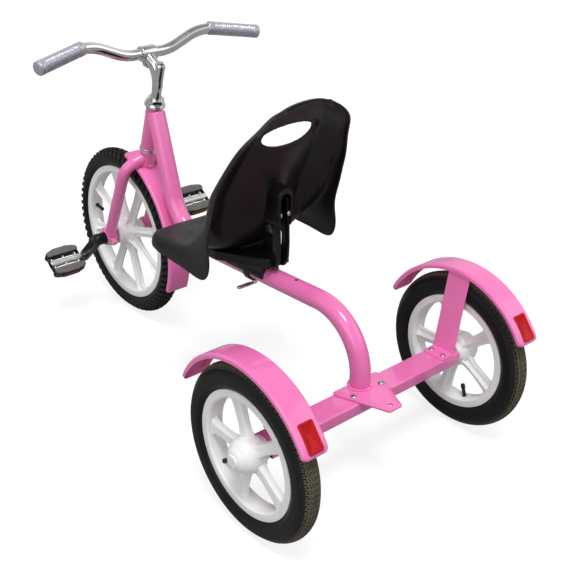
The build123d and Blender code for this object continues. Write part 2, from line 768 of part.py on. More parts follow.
def seat_slider():
    """Saddle over the main tube, with a clamp band round it."""
    radius = tube_radius + slider_wall
    height = bracket_top - bracket_wall
    block = Circle(radius) + Pos(0, height / 2) * Rectangle(2 * slider_half_width, height)
    block &= Pos(0, height) * Rectangle(2 * height, 2 * height)
    saddle = extrude(run_plane(slider_x).offset(-slider_back) * block, slider_back + slider_ahead)
    saddle += extrude(run_plane(slider_x) * Circle(radius), band_width / 2, both=True)
    bore = extrude(run_plane(slider_x) * Circle(tube_radius + running_gap), 2 * slider_ahead, both=True)
    return saddle - bore


def seat_lever():
    """Clamp bolt under the band, with its quick-release handle."""
    plane = run_plane(slider_x)
    under = Plane(origin=plane.origin - plane.y_dir * (tube_radius + slider_wall), x_dir=(0, 1, 0),
                  z_dir=-plane.y_dir)
    bolt = extrude(under * Circle(lever_bolt_radius), lever_drop)
    middle = (lever_length - lever_width) / 2
    handle = under.offset(lever_drop) * Pos(middle, 0) * SlotOverall(lever_length, lever_width)
    return bolt + extrude(handle, lever_thick)


def seat_bracket():
    """Folded plate on the slider, a block up to the pan, and two rails up the back."""
    plane = run_plane(slider_x)
    top = Plane(origin=plane.origin + plane.y_dir * bracket_top, x_dir=plane.z_dir, z_dir=-plane.y_dir)
    outline = make_face(Polyline(*bracket_outline, close=True))
    plate = extrude(top * outline, bracket_depth)
    plate -= extrude(top.offset(bracket_wall) * offset(outline, -bracket_wall), bracket_depth)
    block = Pos(pad_ahead / 2, 0) * Rectangle(pad_ahead, 2 * pad_half)
    plate += extrude(top * block, -pad_height)
    side = Plane(origin=seat_origin(), x_dir=(1, 0, 0), z_dir=(0, -1, 0))
    rail = make_face(Polyline(*rail_foot, *rail_head, close=True))
    for y in (rail_half, -rail_half - rail_thick):
        plate += extrude(side.offset(-y) * rail, -rail_thick)
    return plate - seat_layer(0, pad_sink)


def main():
    os.makedirs("parts", exist_ok=True)
    single = {
        "main_tube": main_tube(), "head_tube": head_tube(), "upper_headset_cup": upper_cup(),
        "lower_headset_cup": lower_ring(), "rear_beam": rear_beam(), "foot_plate": foot_plate(),
        "steerer_tube": steerer(), "fork_crown": fork_crown(), "headset_locknut": locknut(),
        "stem": stem(), "handlebar": handlebar(), "front_fender": front_fender(),
        "front_tyre": front_tyre(), "front_rim": front_wheel_body(), "crank_axle": crank_axle(),
        "seat_shell": seat_shell(), "seat_slider": seat_slider(), "seat_lever": seat_lever(),
        "seat_bracket": seat_bracket(),
    }
    for name, part in single.items():
        save(name, part)
    pairs = {
        "stub_axle": left_stub_axle(), "rear_rim": rear_wheel_body(), "rear_tyre": rear_tyre(),
        "hub_cap": rear_hub_cap(), "fork_leg": left_fork_leg(), "grip": left_grip(),
        "bearing_housing": left_bearing_housing(), "rear_fender": left_rear_fender(),
        "reflector": left_reflector(), "fender_strap": left_fender_strap(),
    }
    for name, part in pairs.items():
        save(f"left_{name}", part)
        save(f"right_{name}", mirrored(part))
    turning = {"crank": left_crank(), "pedal_cage": left_pedal_cage(), "pedal_pads": left_pedal_pads()}
    for name, part in turning.items():
        save(f"left_{name}", part)
        save(f"right_{name}", opposed(part))


main()
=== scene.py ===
import bpy
import numpy as np
from math import cos, pi, radians, sin, tan
from mathutils import Matrix, Vector


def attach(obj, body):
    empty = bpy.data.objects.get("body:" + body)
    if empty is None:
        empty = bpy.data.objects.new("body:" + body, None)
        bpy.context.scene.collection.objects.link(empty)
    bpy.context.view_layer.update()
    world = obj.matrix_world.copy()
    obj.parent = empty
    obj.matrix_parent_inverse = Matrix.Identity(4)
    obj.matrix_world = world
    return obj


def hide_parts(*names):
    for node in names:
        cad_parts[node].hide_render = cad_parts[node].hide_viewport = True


# Looks of the youth tricycle. Shapes are worked out in millimetres, with x = 0 at the rear axle and z = 0 on the
# ground. A part is (points, quads, triangles), and meshOf() carries it to the row's own place in metres.

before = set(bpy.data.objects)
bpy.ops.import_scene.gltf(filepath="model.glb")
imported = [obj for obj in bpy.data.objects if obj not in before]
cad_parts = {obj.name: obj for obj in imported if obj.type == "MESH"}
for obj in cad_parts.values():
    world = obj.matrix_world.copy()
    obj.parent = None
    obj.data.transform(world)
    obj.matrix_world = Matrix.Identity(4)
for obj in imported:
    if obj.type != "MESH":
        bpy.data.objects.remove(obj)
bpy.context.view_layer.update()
rowShift = 412.75  # rear axle to the middle of the overall length
rearAxle, frontAxle = (0.0, 159.0), (787.5, 197.0)  # x and z
halfTrack = 256.0  # y of the left rear wheel's middle
forward, leftward, upward = (1, 0, 0), (0, 1, 0), (0, 0, 1)


# moved back by the shift, and millimetres over 1000
def toRow(points):
    return (np.asarray(points, float) - (rowShift, 0, 0)) / 1000


# each vector over its own length
def unit(vectors):
    return vectors / np.linalg.norm(vectors, axis=-1, keepdims=True)


# plain numbers as a vector that can be added and scaled
def vec(*numbers):
    return np.array(numbers, float)


frontHub = vec(frontAxle[0], 0, frontAxle[1])


# straight runs joined by arcs of one radius that touch both of them
def roundedPath(corners, radius, step):
    corners = np.asarray(corners, float)
    pieces = [corners[:1]]
    for before, corner, after in zip(corners[:-2], corners[1:-1], corners[2:]):
        back, ahead = unit(before - corner), unit(after - corner)
        half = np.arccos(np.clip(back @ ahead, -1, 1)) / 2
        turn = pi - 2 * half
        centre = corner + unit(back + ahead) * radius / sin(half)
        start, end = [corner + arm * radius / tan(half) - centre for arm in (back, ahead)]
        t = np.linspace(0, 1, max(4, int(turn * radius / step) + 2))[:, None]
        pieces.append(centre + (np.sin((1 - t) * turn) * start + np.sin(t * turn) * end) / sin(turn))
    pieces.append(corners[-1:])
    return np.concatenate(pieces)


# even steps along a path
def evenSteps(path, count):
    length = np.concatenate([[0], np.cumsum(np.linalg.norm(np.diff(path, axis=0), axis=1))])
    wanted = np.linspace(0, length[-1], count)
    return np.stack([np.interp(wanted, length, path[:, axis]) for axis in range(path.shape[1])], 1)


# natural cubic spline through the rows of an array, spaced by the square roots of its chords
def splineThrough(knots, count):
    knots = np.asarray(knots, float)
    flat = knots.reshape(len(knots), -1)
    gaps = np.linalg.norm(np.diff(flat, axis=0), axis=1) ** 0.5
    where = np.concatenate([[0], np.cumsum(gaps)])
    size = len(knots)
    system, right = np.eye(size), np.zeros_like(flat)
    inner = np.arange(1, size - 1)
    system[inner, inner - 1], system[inner, inner + 1] = gaps[:-1], gaps[1:]
    system[inner, inner] = 2 * (gaps[:-1] + gaps[1:])
    right[1:-1] = 6 * np.diff(np.diff(flat, axis=0) / gaps[:, None], axis=0)
    bend = np.linalg.solve(system, right)
    wanted = np.linspace(0, where[-1], count)
    k = np.clip(np.searchsorted(where, wanted, side="right") - 1, 0, size - 2)
    h = gaps[k][:, None]
    a, b = (where[k + 1] - wanted)[:, None] / h, (wanted - where[k])[:, None] / h
    curve = a * flat[k] + b * flat[k + 1] + ((a**3 - a) * bend[k] + (b**3 - b) * bend[k + 1]) * h**2 / 6
    return curve.reshape((count,) + knots.shape[1:])


# (cos t, sin t) times the radius
def circle(radius, count=48):
    t = np.arange(count) * 2 * pi / count
    return np.stack([np.cos(t), np.sin(t)], 1) * radius


# path point + u * across + v * normal for each (u, v) of a section, across being the side made square to the path
def carry(path, section, side):
    tangent = np.gradient(path, axis=0)
    tangent[1:-1] = path[2:] - path[:-2]
    tangent = unit(tangent)
    side = np.broadcast_to(np.asarray(side, float), path.shape)
    across = unit(side - np.sum(side * tangent, 1, keepdims=True) * tangent)
    normal = np.cross(tangent, across)
    section = np.asarray(section, float)
    return path[:, None] + section[..., 0, None] * across[:, None] + section[..., 1, None] * normal[:, None]


# closed grid, rows along and points round: it is a loop, or its ends close on their middles or in strips of quads;
# a negative volume turns its faces round, so that they point outwards
def closedGrid(points, loop=False, stripEnds=False):
    rows, count = points.shape[:2]
    index = np.arange(rows * count).reshape(rows, count)
    here = index if loop else index[:-1]
    ahead = np.roll(index, -1, 0) if loop else index[1:]
    quads = np.stack([here, np.roll(here, -1, 1), np.roll(ahead, -1, 1), ahead], -1).reshape(-1, 4)
    verts, tris = points.reshape(-1, 3), np.zeros((0, 3), int)
    if not loop and stripEnds:
        k = np.arange(count // 2 - 1)
        cap = np.stack([k, count - 1 - k, count - 2 - k, k + 1], 1)
        quads = np.concatenate([quads, index[0][cap], index[-1][cap[:, ::-1]]])
    elif not loop:
        middles = np.stack([points[0].mean(0), points[-1].mean(0)])
        first, last, pole = index[0], index[-1], np.full(count, rows * count)
        tris = np.concatenate([np.stack([np.roll(first, -1), first, pole], 1),
                               np.stack([last, np.roll(last, -1), pole + 1], 1)])
        verts = np.concatenate([verts, middles])
    halves = np.concatenate([quads[:, :3], quads[:, [0, 2, 3]], tris])
    corner = verts[halves] - verts.mean(0)
    if np.sum(corner[:, 0] * np.cross(corner[:, 1], corner[:, 2])) < 0:
        quads, tris = quads[:, ::-1], tris[:, ::-1]
    return verts, quads, tris


# a circle carried along a path whose ends are rounded off: rows near an end step in along a quarter circle
def cappedTube(path, radius, edge, count, side=leftward):
    path = np.asarray(path, float)
    t = np.linspace(0, pi / 2, 5)[:-1, None]
    head, tail = unit(path[0] - path[1]), unit(path[-1] - path[-2])
    shrink = radius - edge * (1 - np.sin(t))
    path = np.concatenate([
        path[0] - head * edge * (1 - np.cos(t)), path[0] - head[None] * edge, path[1:-1],
        path[-1] - tail[None] * edge, path[-1] - tail * edge * (1 - np.cos(t))[::-1]])
    radii = np.concatenate([shrink, np.full((len(path) - 8, 1), radius), shrink[::-1]])
    return closedGrid(carry(path, circle(1, count)[None] * radii[:, None], side))


# an axis made unit long, and two ways square to it
def squareTo(axis):
    axis = unit(np.asarray(axis, float))
    first = unit(np.cross(axis, upward if abs(axis[2]) < 0.9 else forward))
    return axis, first, np.cross(axis, first)


# a profile of (distance along the axis, radius) turned about the axis
def turned(origin, axis, profile, count=64):
    axis, first, second = squareTo(axis)
    profile, ring = np.asarray(profile, float), circle(1, count)
    spokes = ring[:, 0, None] * first + ring[:, 1, None] * second
    return closedGrid(np.asarray(origin, float) + profile[:, 0, None, None] * axis
                      + profile[:, 1, None, None] * spokes)


# a profile whose corners are all rounded a little
def softened(profile, radius, step=0.4):
    return roundedPath(np.asarray(profile, float), radius, step)


# outline round a set of circles (x, y, radius): in each direction, the point of the one that reaches furthest
def hullOutline(circles, count):
    circles = np.asarray(circles, float)
    way = circle(1, count)
    k = np.argmax(way @ circles[:, :2].T + circles[:, 2], axis=1)
    return circles[k, :2] + way * circles[k, 2, None], way


# that outline stacked up along the normal: each level is (how far it is drawn in, its height)
def stacked(circles, levels, origin, across, up, count=96):
    outline, way = hullOutline(circles, count)
    levels = np.asarray(levels, float)
    flat = outline[None] - way[None] * levels[:, 0, None, None]
    across, up = unit(np.asarray(across, float)), unit(np.asarray(up, float))
    return closedGrid(np.asarray(origin, float) + flat[..., :1] * across + flat[..., 1:] * up
                      + levels[:, 1, None, None] * np.cross(across, up))


# levels of a plate from low to high, its edges rounded by quarter circles
def plateLevels(low, high, edge):
    t = np.linspace(0, pi / 2, 4)
    bottom = np.stack([edge * (1 - np.sin(t)), low + edge * (1 - np.cos(t))], 1)
    top = np.stack([edge * (1 - np.cos(t)), high - edge * (1 - np.sin(t))], 1)
    return np.concatenate([bottom, top])


# a quarter ellipse turned about the axis, on a short straight rim
def boltHead(origin, axis, radius, height):
    t = np.linspace(0.05, pi / 2, 8)
    dome = np.stack([height * (0.35 + 0.65 * np.cos(t)), radius * np.sin(t)], 1)
    return turned(origin, axis, np.concatenate([dome, [[0, radius], [-1.0, radius]]]), 32)


# a hexagon, flat / cos of the angle from its nearest side's middle, with its top corners turned off
def hexHead(origin, axis, flat, height, twist=0.0):
    t = np.arange(48) * 2 * pi / 48 + 1e-6
    side = flat / np.cos((t + pi / 6) % (pi / 3) - pi / 6)
    axis, first, second = squareTo(axis)
    first, second = first * cos(twist) + second * sin(twist), second * cos(twist) - first * sin(twist)
    way = np.cos(t)[:, None] * first + np.sin(t)[:, None] * second
    rows = [side[:, None] * way - axis, side[:, None] * way + axis * (height - 0.8),
            np.minimum(side, flat * 1.06)[:, None] * way + axis * height]
    return closedGrid(np.asarray(origin, float) + np.stack(rows))


# a bead of weld along a closed loop: a circle whose size ripples as 1 + 0.26 cos
def weldBead(loop, size, ripples):
    count = len(loop)
    bump = 1 + 0.26 * np.cos(np.arange(count) * 2 * pi * ripples / count)
    tangent = unit(np.roll(loop, -1, 0) - np.roll(loop, 1, 0))
    out = unit(loop - loop.mean(0))
    ring, normal = circle(1, 12), np.cross(tangent, out)
    rows = ring[:, 0, None] * out[:, None] + ring[:, 1, None] * normal[:, None]
    return closedGrid(loop[:, None] + size * bump[:, None, None] * rows, loop=True)


# the same part on the other side of the tricycle
def mirrorPart(part):
    verts, quads, tris = part
    return verts * (1, -1, 1), quads[:, ::-1], tris[:, ::-1]


# every point plus the shift
def movedPart(part, shift):
    return part[0] + shift, part[1], part[2]


# one mesh from many parts, each part's numbering starting after the last one's points
def meshOf(name, parts):
    verts, faces, start = [], [], 0
    for points, quads, tris in parts:
        verts.append(points)
        faces += (quads + start).tolist() + (tris + start).tolist()
        start += len(points)
    mesh = bpy.data.meshes.new(name)
    mesh.from_pydata(toRow(np.concatenate(verts)).tolist(), [], faces)
    return mesh


# smooth all over but for edges that turn more than sharp degrees
def shadeSmooth(mesh, sharp):
    mesh.polygons.foreach_set("use_smooth", np.ones(len(mesh.polygons), bool))
    mesh.set_sharp_from_angle(angle=radians(sharp))


# a new object that holds the data, in the scene
def linked(name, data):
    holder = bpy.data.objects.new(name, data)
    bpy.context.scene.collection.objects.link(holder)
    return holder


# one named piece: its mesh and material, the body it rides and the nodes it replaces; the last argument is how high
# each point stands out of a tyre's grooves
def addPiece(name, parts, material, body, replaces=(), sharp=40, mirror=False, treadRise=None):
    mesh = meshOf(name, [mirrorPart(part) for part in parts] if mirror else parts)
    shadeSmooth(mesh, sharp)
    mesh.materials.append(material)
    # how high a tyre's tread stands, kept on its points: the mask for the tread's dust and painted highlight
    if treadRise is not None:
        mesh.attributes.new("treadRise", "FLOAT", "POINT").data.foreach_set("value", treadRise.ravel().astype(np.float32))
    piece = linked(name, mesh)
    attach(piece, body)
    if replaces:
        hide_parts(*replaces)
    return piece


# cuts closed parts out of a piece
def cutAway(piece, parts):
    cutter = linked("cutter", meshOf("cutter", parts))
    change = piece.modifiers.new("cut", "BOOLEAN")
    change.object, change.operation, change.solver = cutter, "DIFFERENCE", "MANIFOLD"
    graph = bpy.context.evaluated_depsgraph_get()
    graph.update()
    cut = bpy.data.meshes.new_from_object(piece.evaluated_get(graph))
    piece.modifiers.clear()
    piece.data = cut
    shadeSmooth(cut, 40)
    bpy.data.objects.remove(cutter)


# an sRGB hex colour as the linear one that a shader takes
def hexColour(text):
    value = np.array([int(text[i:i + 2], 16) for i in (1, 3, 5)]) / 255
    linear = np.where(value <= 0.04045, value / 12.92, ((value + 0.055) / 1.055) ** 2.4)
    return (*(float(v) for v in linear), 1.0)


# adds one node with its values, the sockets that feed it and its settings
def addNode(tree, kind, values=None, links=None, **settings):
    node = tree.nodes.new(kind)
    for key, value in settings.items():
        setattr(node, key, value)
    for key, value in (values or {}).items():
        node.inputs[key].default_value = value
    for key, source in (links or {}).items():
        tree.links.new(source, node.inputs[key])
    return node


# a new material with its shader's plain values, and the object coordinates that its patterns read
def newMaterial(name, values):
    material = bpy.data.materials.new(name)
    material.use_nodes = True
    tree = material.node_tree
    shader = tree.nodes["Principled BSDF"]
    for key, value in values.items():
        shader.inputs[key].default_value = value
    place = addNode(tree, "ShaderNodeTexCoord").outputs["Object"]
    return material, tree, shader, place


# colour between two hex values by one factor, roughness in a range by another, height in millimetres by a third
def dress(tree, shader, colour, roughness, height):
    factor, first, second = colour
    mix = addNode(tree, "ShaderNodeMix", {6: hexColour(first), 7: hexColour(second)}, {0: factor},
                  data_type="RGBA")
    tree.links.new(mix.outputs[2], shader.inputs["Base Color"])
    factor, low, high = roughness
    span = addNode(tree, "ShaderNodeMapRange", {"From Min": 0.3, "From Max": 0.7, "To Min": low, "To Max": high},
                   {"Value": factor})
    tree.links.new(span.outputs["Result"], shader.inputs["Roughness"])
    factor, depth = height
    bump = addNode(tree, "ShaderNodeBump", {"Distance": depth / 1000}, {"Height": factor})
    tree.links.new(bump.outputs["Normal"], shader.inputs["Normal"])
    return mix


# a finish whose colour, roughness and relief follow three noises of real size: tone, sheen and grain give each
# one's size in mm and its detail
def mottledFinish(name, values, dark, light, tone, sheen, grain, rough, depth):
    material, tree, shader, place = newMaterial(name, values)
    drift, cloud, relief = [
        addNode(tree, "ShaderNodeTexNoise", {"Scale": 1000 / size, "Detail": detail}, {"Vector": place}).outputs[0]
        for size, detail in (tone, sheen, grain)]
    dress(tree, shader, (drift, dark, light), (cloud, *rough), (relief, depth))
    return material


# baked enamel on steel, sprayed: deep gloss over a faint orange peel, its colour a little uneven
pink = mottledFinish(
    "bakedPinkEnamel", {"Specular IOR Level": 0.25, "Coat Weight": 0.8, "Coat Roughness": 0.05},
    "#EB70B3", "#F27EBD", tone=(70, 2), sheen=(9, 2), grain=(2.6, 1), rough=(0.3, 0.4), depth=0.01)
# bright nickel-chrome plate on polished steel: mirror-like, with soft polishing waves and thin haze
chrome = mottledFinish(
    "chromePlate", {"Metallic": 1.0},
    "#BDBEBD", "#D4D5D4", tone=(30, 2), sheen=(14, 4), grain=(16, 1), rough=(0.05, 0.13), depth=0.02)
# zinc-plated steel, barrel plated: pale grey and satin, with a faint mottle from the passivation
zinc = mottledFinish(
    "zincPlatedSteel", {"Metallic": 1.0},
    "#A8ABAF", "#C8CBCE", tone=(6, 3), sheen=(6, 3), grain=(1.4, 2), rough=(0.4, 0.24), depth=0.01)
# die-cast aluminium with a bright painted face: pale silver, mottled by the casting
castSilver = mottledFinish(
    "castAluminium", {"Metallic": 0.5},
    "#B4B4B2", "#EDEDEB", tone=(5, 3), sheen=(1.5, 2), grain=(5, 3), rough=(0.34, 0.5), depth=0.06)
# black stoved enamel on pressed steel: glossy, faintly wavy
blackSteel = mottledFinish(
    "blackStoveEnamel", {"Specular IOR Level": 0.2, "Coat Weight": 0.2, "Coat Roughness": 0.15},
    "#0B0B0C", "#131314", tone=(25, 2), sheen=(8, 2), grain=(3, 1), rough=(0.28, 0.4), depth=0.015)
# injection-moulded polypropylene: black and satin, with the fine grain of a spark-eroded mould
blackPlastic = mottledFinish(
    "mouldedBlackPolypropylene", {"Specular IOR Level": 0.3},
    "#0C0A0B", "#141011", tone=(45, 3), sheen=(14, 3), grain=(1.2, 2), rough=(0.3, 0.42), depth=0.02)
# moulded nylon of the wheels: waxy white satin, faintly mottled, light passes a little way in
nylon = mottledFinish(
    "mouldedWhiteNylon",
    {"Subsurface Weight": 0.06, "Subsurface Radius": (0.004, 0.004, 0.004), "Subsurface Scale": 1.0},
    "#EAEAEA", "#F4F4F3", tone=(35, 4), sheen=(10, 3), grain=(2.2, 2), rough=(0.34, 0.46), depth=0.02)
# soft moulded rubber of the pedals' treads and of their bodies, scuffed paler where it is rubbed
padRubber, darkRubber = [
    mottledFinish(name, {"Specular IOR Level": 0.35}, dark, light, tone=(9, 4), sheen=(9, 4), grain=(1.0, 2),
                  rough=(0.55, 0.75), depth=0.03)
    for name, dark, light in (("greyPedalRubber", "#5F5E5A", "#7C7A75"), ("blackPedalRubber", "#101011", "#18181A"))]


# vinyl sleeve filled with silver glitter: flakes of 1.1 mm, each turned its own way under a clear skin
def glitterVinyl():
    look = dict(dark="#8A8998", light="#C9C9D2", flakeMm=1.1)
    material, tree, shader, place = newMaterial("glitterVinyl", {"Coat Weight": 0.7, "Coat Roughness": 0.12})
    flakes = addNode(tree, "ShaderNodeTexVoronoi", {"Scale": 1000 / look["flakeMm"]}, {"Vector": place})
    shade = addNode(tree, "ShaderNodeSeparateColor", links={0: flakes.outputs["Color"]})
    metal = addNode(tree, "ShaderNodeMapRange", {"To Min": 0.25, "To Max": 0.8}, {"Value": shade.outputs[0]})
    tree.links.new(metal.outputs[0], shader.inputs["Metallic"])
    dress(tree, shader, (shade.outputs[0], look["dark"], look["light"]), (shade.outputs[1], 0.5, 0.2),
          (shade.outputs[2], 0.06))
    return material


# acrylic reflector, moulded: a smooth face over rows of corner prisms
def reflectorAcrylic(name, deep, bright, prismMm=3.2):
    material, tree, shader, place = newMaterial(name, {
        "Specular IOR Level": 0.12, "Coat Weight": 0.08, "Coat Roughness": 0.06})
    prisms = addNode(tree, "ShaderNodeTexVoronoi", {"Scale": 1000 / prismMm, "Randomness": 0.0},
                     {"Vector": place}, distance="MANHATTAN").outputs["Distance"]
    dress(tree, shader, (prisms, deep, bright), (prisms, 0.18, 0.26), (prisms, 0.05))
    return material


# vulcanised rubber: black sidewall with fine radial ribs at the shoulder, drawn as the sine of the angle round the
# axle, and the tread paler wherever its height attribute says that it stands up: dust there, with a painted highlight
# on the raised tread
def vulcanisedRubber(name, look):
    material, tree, shader, place = newMaterial(name, {"Specular IOR Level": 0.16})
    centre = ((vec(look["axle"][0] - rowShift, look["middle"], look["axle"][1])) / 1000).tolist()
    wheel = addNode(tree, "ShaderNodeVectorMath", {1: centre}, {0: place}, operation="SUBTRACT")
    part = addNode(tree, "ShaderNodeSeparateXYZ", links={0: wheel.outputs[0]}).outputs
    angle = addNode(tree, "ShaderNodeMath", links={0: part["X"], 1: part["Z"]}, operation="ARCTAN2")
    turns = addNode(tree, "ShaderNodeMath", {1: float(look["ribs"])}, {0: angle.outputs[0]}, operation="MULTIPLY")
    ribs = addNode(tree, "ShaderNodeMath", links={0: turns.outputs[0]}, operation="SINE")
    disc = addNode(tree, "ShaderNodeVectorMath", {1: (1, 0, 1)}, {0: wheel.outputs[0]}, operation="MULTIPLY")
    radius = addNode(tree, "ShaderNodeVectorMath", links={0: disc.outputs[0]}, operation="LENGTH")
    low, high = look["shoulder"]
    shoulder = addNode(tree, "ShaderNodeMapRange", {"From Min": low / 1000, "From Max": high / 1000},
                       {"Value": radius.outputs["Value"]})
    drift, patch, grain = [
        addNode(tree, "ShaderNodeTexNoise", {"Scale": 1000 / size, "Detail": detail}, {"Vector": place}).outputs[0]
        for size, detail in (look["drift"], look["patch"], look["grain"])]
    treadRise = addNode(tree, "ShaderNodeAttribute", attribute_name="treadRise")
    patchy = addNode(tree, "ShaderNodeMapRange", {"From Min": 0.3, "From Max": 0.7, "To Min": 0.75, "To Max": 1.0},
                     {"Value": patch})
    # the raised tread's dust and painted highlight, in patches
    dustAndHighlight = addNode(tree, "ShaderNodeMath", links={0: treadRise.outputs["Fac"], 1: patchy.outputs[0]},
                   operation="MULTIPLY").outputs[0]
    ridge = addNode(tree, "ShaderNodeMath", links={0: ribs.outputs[0], 1: shoulder.outputs[0]}, operation="MULTIPLY")
    relief = addNode(tree, "ShaderNodeMath", links={0: ridge.outputs[0], 1: grain}, operation="ADD").outputs[0]
    base = dress(tree, shader, (drift, look["dark"], look["light"]), (dustAndHighlight, 0.42, 0.75), (relief, look["depth"]))
    # the raised tread mixed towards a paler colour: dust with a painted highlight
    dustAndHighlightMix = addNode(tree, "ShaderNodeMix", {7: hexColour(look["dustAndHighlight"])}, {0: dustAndHighlight, 6: base.outputs[2]},
                    data_type="RGBA")
    tree.links.new(dustAndHighlightMix.outputs[2], shader.inputs["Base Color"])
    return material


glitter = glitterVinyl()
redAcrylic = reflectorAcrylic("redReflectorAcrylic", "#A80E13", "#BC1318")
amberAcrylic = reflectorAcrylic("amberReflectorAcrylic", "#3E1808", "#6B2E10")
# noises are (size in mm, detail), and shoulder is the radii between which the ribs rise
tyreTone = dict(dark="#0F0F10", light="#17171A", drift=(30, 3), patch=(7, 4), grain=(1.8, 2), depth=0.28)
# each tyre's paler tone for its raised tread is dust with a painted highlight on it
frontRubber = vulcanisedRubber("frontTyreRubber", dict(
    tyreTone, axle=frontAxle, middle=0, ribs=260, shoulder=(170, 176), dustAndHighlight="#2B2927"))
rearRubber = {
    side: vulcanisedRubber(side + "TyreRubber", dict(
        tyreTone, axle=rearAxle, middle=middle, ribs=300, shoulder=(139, 146), dustAndHighlight="#6E6857"))
    for side, middle in (("left", halfTrack), ("right", -halfTrack))}
print("materials done")


head = dict(middle=vec(649, 0, 532), tilt=radians(18), radius=17.0, length=106.0, bore=12.0, edge=0.8)
headUp = vec(-sin(head["tilt"]), 0, cos(head["tilt"]))
headBack = vec(-cos(head["tilt"]), 0, -sin(head["tilt"]))
headLow = head["middle"] - headUp * head["length"]


# a distance up the steering axis from the head tube's lower end
def headPoint(distance):
    return headLow + headUp * distance


mainTube = dict(radius=19.05, bend=108.0, slope=tan(radians(4)), footX=12.5, runRise=150.3, cornerX=567.0,
                lean=tan(radians(17.5)), topZ=520.0, holes=(190.0, 253.5), holeRadius=4.6, plateTop=175.7,
                footBead=2.4, seamBead=1.9)


# the tube's middle on its straight run, which falls towards the front
def runPoint(x):
    return vec(x, 0, rearAxle[1] + mainTube["runRise"] - (x - mainTube["footX"]) * mainTube["slope"])


# an upright foot, the sloping run and the rise to the head tube, joined by two bends, with two bolt holes
def buildMainTube():
    t = mainTube
    corner = runPoint(t["cornerX"])
    rise = t["topZ"] - corner[2]
    top = corner + (rise * t["lean"], 0, rise)
    path = roundedPath([top, corner, runPoint(t["footX"]), vec(t["footX"], 0, t["plateTop"] - 2)], t["bend"], 4)
    piece = addPiece("mainTubePink", [cappedTube(path, t["radius"], edge=2.5, count=72)], pink, "frame",
                     ["main_tube"])
    hole = t["holeRadius"]
    cutAway(piece, [turned(runPoint(x) + (0, 0, 6), upward, [(-20, hole), (20, hole)], 32) for x in t["holes"]])
    # a black disc a little way down each bolt hole: painted shade for the dark inside of the hollow tube
    boreShadeDiscs = [turned(runPoint(x) + (0, 0, t["radius"] - 3), upward, [(-1.5, hole), (0, hole)], 32)
             for x in t["holes"]]
    addPiece("tubeBoreShade", boreShadeDiscs, blackSteel, "frame")
    ring = circle(t["radius"] + 1.2, 288)
    foot = np.stack([t["footX"] + ring[:, 0], ring[:, 1], np.full(288, t["plateTop"] + 1.0)], 1)
    # seam where the main tube runs into the head tube: lines parallel to the steering axis, round the head tube's
    # back, each met with the main tube's cylinder by the lower root of a quadratic
    phi = np.linspace(radians(-100), radians(100), 160)
    spot = headLow + head["radius"] * (np.cos(phi)[:, None] * headBack + np.sin(phi)[:, None] * vec(0, 1, 0))
    along, gap = unit(vec(t["lean"], 0, 1)), spot - top
    a = headUp - (headUp @ along) * along
    b = gap - (gap @ along)[:, None] * along
    qa, qb, qc = a @ a, 2 * b @ a, np.sum(b * b, 1) - (t["radius"] + 0.6) ** 2
    low = (-qb - np.sqrt(np.maximum(qb**2 - 4 * qa * qc, 0))) / (2 * qa)
    seam = spot + low[:, None] * headUp
    size = t["seamBead"] * (1 + 0.16 * np.cos(np.arange(160) * 0.9))[:, None, None]
    seamPart = closedGrid(carry(seam, circle(1, 12)[None] * size, headBack))
    addPiece("frameWelds", [weldBead(foot, t["footBead"], 30), seamPart], pink, "frame")


buildMainTube()

# profiles of (distance up the steering axis, radius)
headset = dict(
    upperCup=[(104, 12.9), (104, 18.4), (107, 20), (108.2, 22), (110.6, 22), (110.9, 20.9), (111.6, 20.9),
              (111.9, 21.8), (113.6, 21.2), (115, 18.5), (115, 12.9)],
    lowerRing=[(3, 12.9), (3, 18), (0, 19), (-2.0, 19), (-2.2, 18.2), (-2.8, 18.2), (-3.0, 18.8), (-4.0, 17.8),
               (-4.0, 12.9)])


# profiles turned about the steering axis
def buildHeadTube():
    h = head
    wall = [(0, h["bore"]), (0, h["radius"]), (h["length"], h["radius"]), (h["length"], h["bore"])]
    addPiece("headTubePink", [turned(headLow, headUp, softened(wall, h["edge"]))], pink, "frame", ["head_tube"])
    for name, node, profile, edge in (("upperHeadsetCup", "upper_headset_cup", headset["upperCup"], 0.35),
                                      ("lowerHeadsetCup", "lower_headset_cup", headset["lowerRing"], 0.3)):
        part = turned(headLow, headUp, softened(profile, edge, 0.15), 96)
        addPiece(name, [part], chrome, "frame", [node])


buildHeadTube()

# plate is the foot plate's corners as (x, y, radius); bolts are (x, y), and the tow hole is at holeX
beam = dict(depth=50.8, height=25.4, corner=4.0, half=232.0, top=171.7,
            plate=[(20.5, 49.1, 6), (20.5, -49.1, 6), (-73, 11.4, 6), (-73, -11.4, 6)], plateThick=4.0, holeX=-65.0,
            holeRadius=4.0, plateBolts=((-8, 34), (-8, -34)), strapBolts=((14, 194), (-14, 194)))


# a rectangular bar with rounded corners across the tricycle, and the flat plate that is bolted to it
def buildBeam():
    b = beam
    x, z = b["depth"] / 2 - b["corner"], b["height"] / 2 - b["corner"]
    corners = [(sz * z, sx * x, b["corner"]) for sx in (1, -1) for sz in (1, -1)]
    box = stacked(corners, plateLevels(-b["half"], b["half"], 0.8), (0, 0, rearAxle[1]), upward, forward)
    addPiece("rearBeamPink", [box], pink, "frame", ["rear_beam"])
    part = stacked(b["plate"], plateLevels(0, b["plateThick"], 0.9), (0, 0, b["top"]), forward, leftward)
    piece = addPiece("footPlatePink", [part], pink, "frame", ["foot_plate"])
    cutAway(piece, [turned((b["holeX"], 0, b["top"] - 5), upward, [(0, b["holeRadius"]), (14, b["holeRadius"])], 32)])
    bolts = [boltHead((x, y, b["top"] + b["plateThick"]), upward, 6.0, 3.6) for x, y in b["plateBolts"]]
    bolts += [boltHead((x, side * y, b["top"] + 2.6), upward, 5.2, 3.2)
              for side in (1, -1) for x, y in b["strapBolts"]]
    addPiece("frameBolts", bolts, zinc, "frame")


buildBeam()

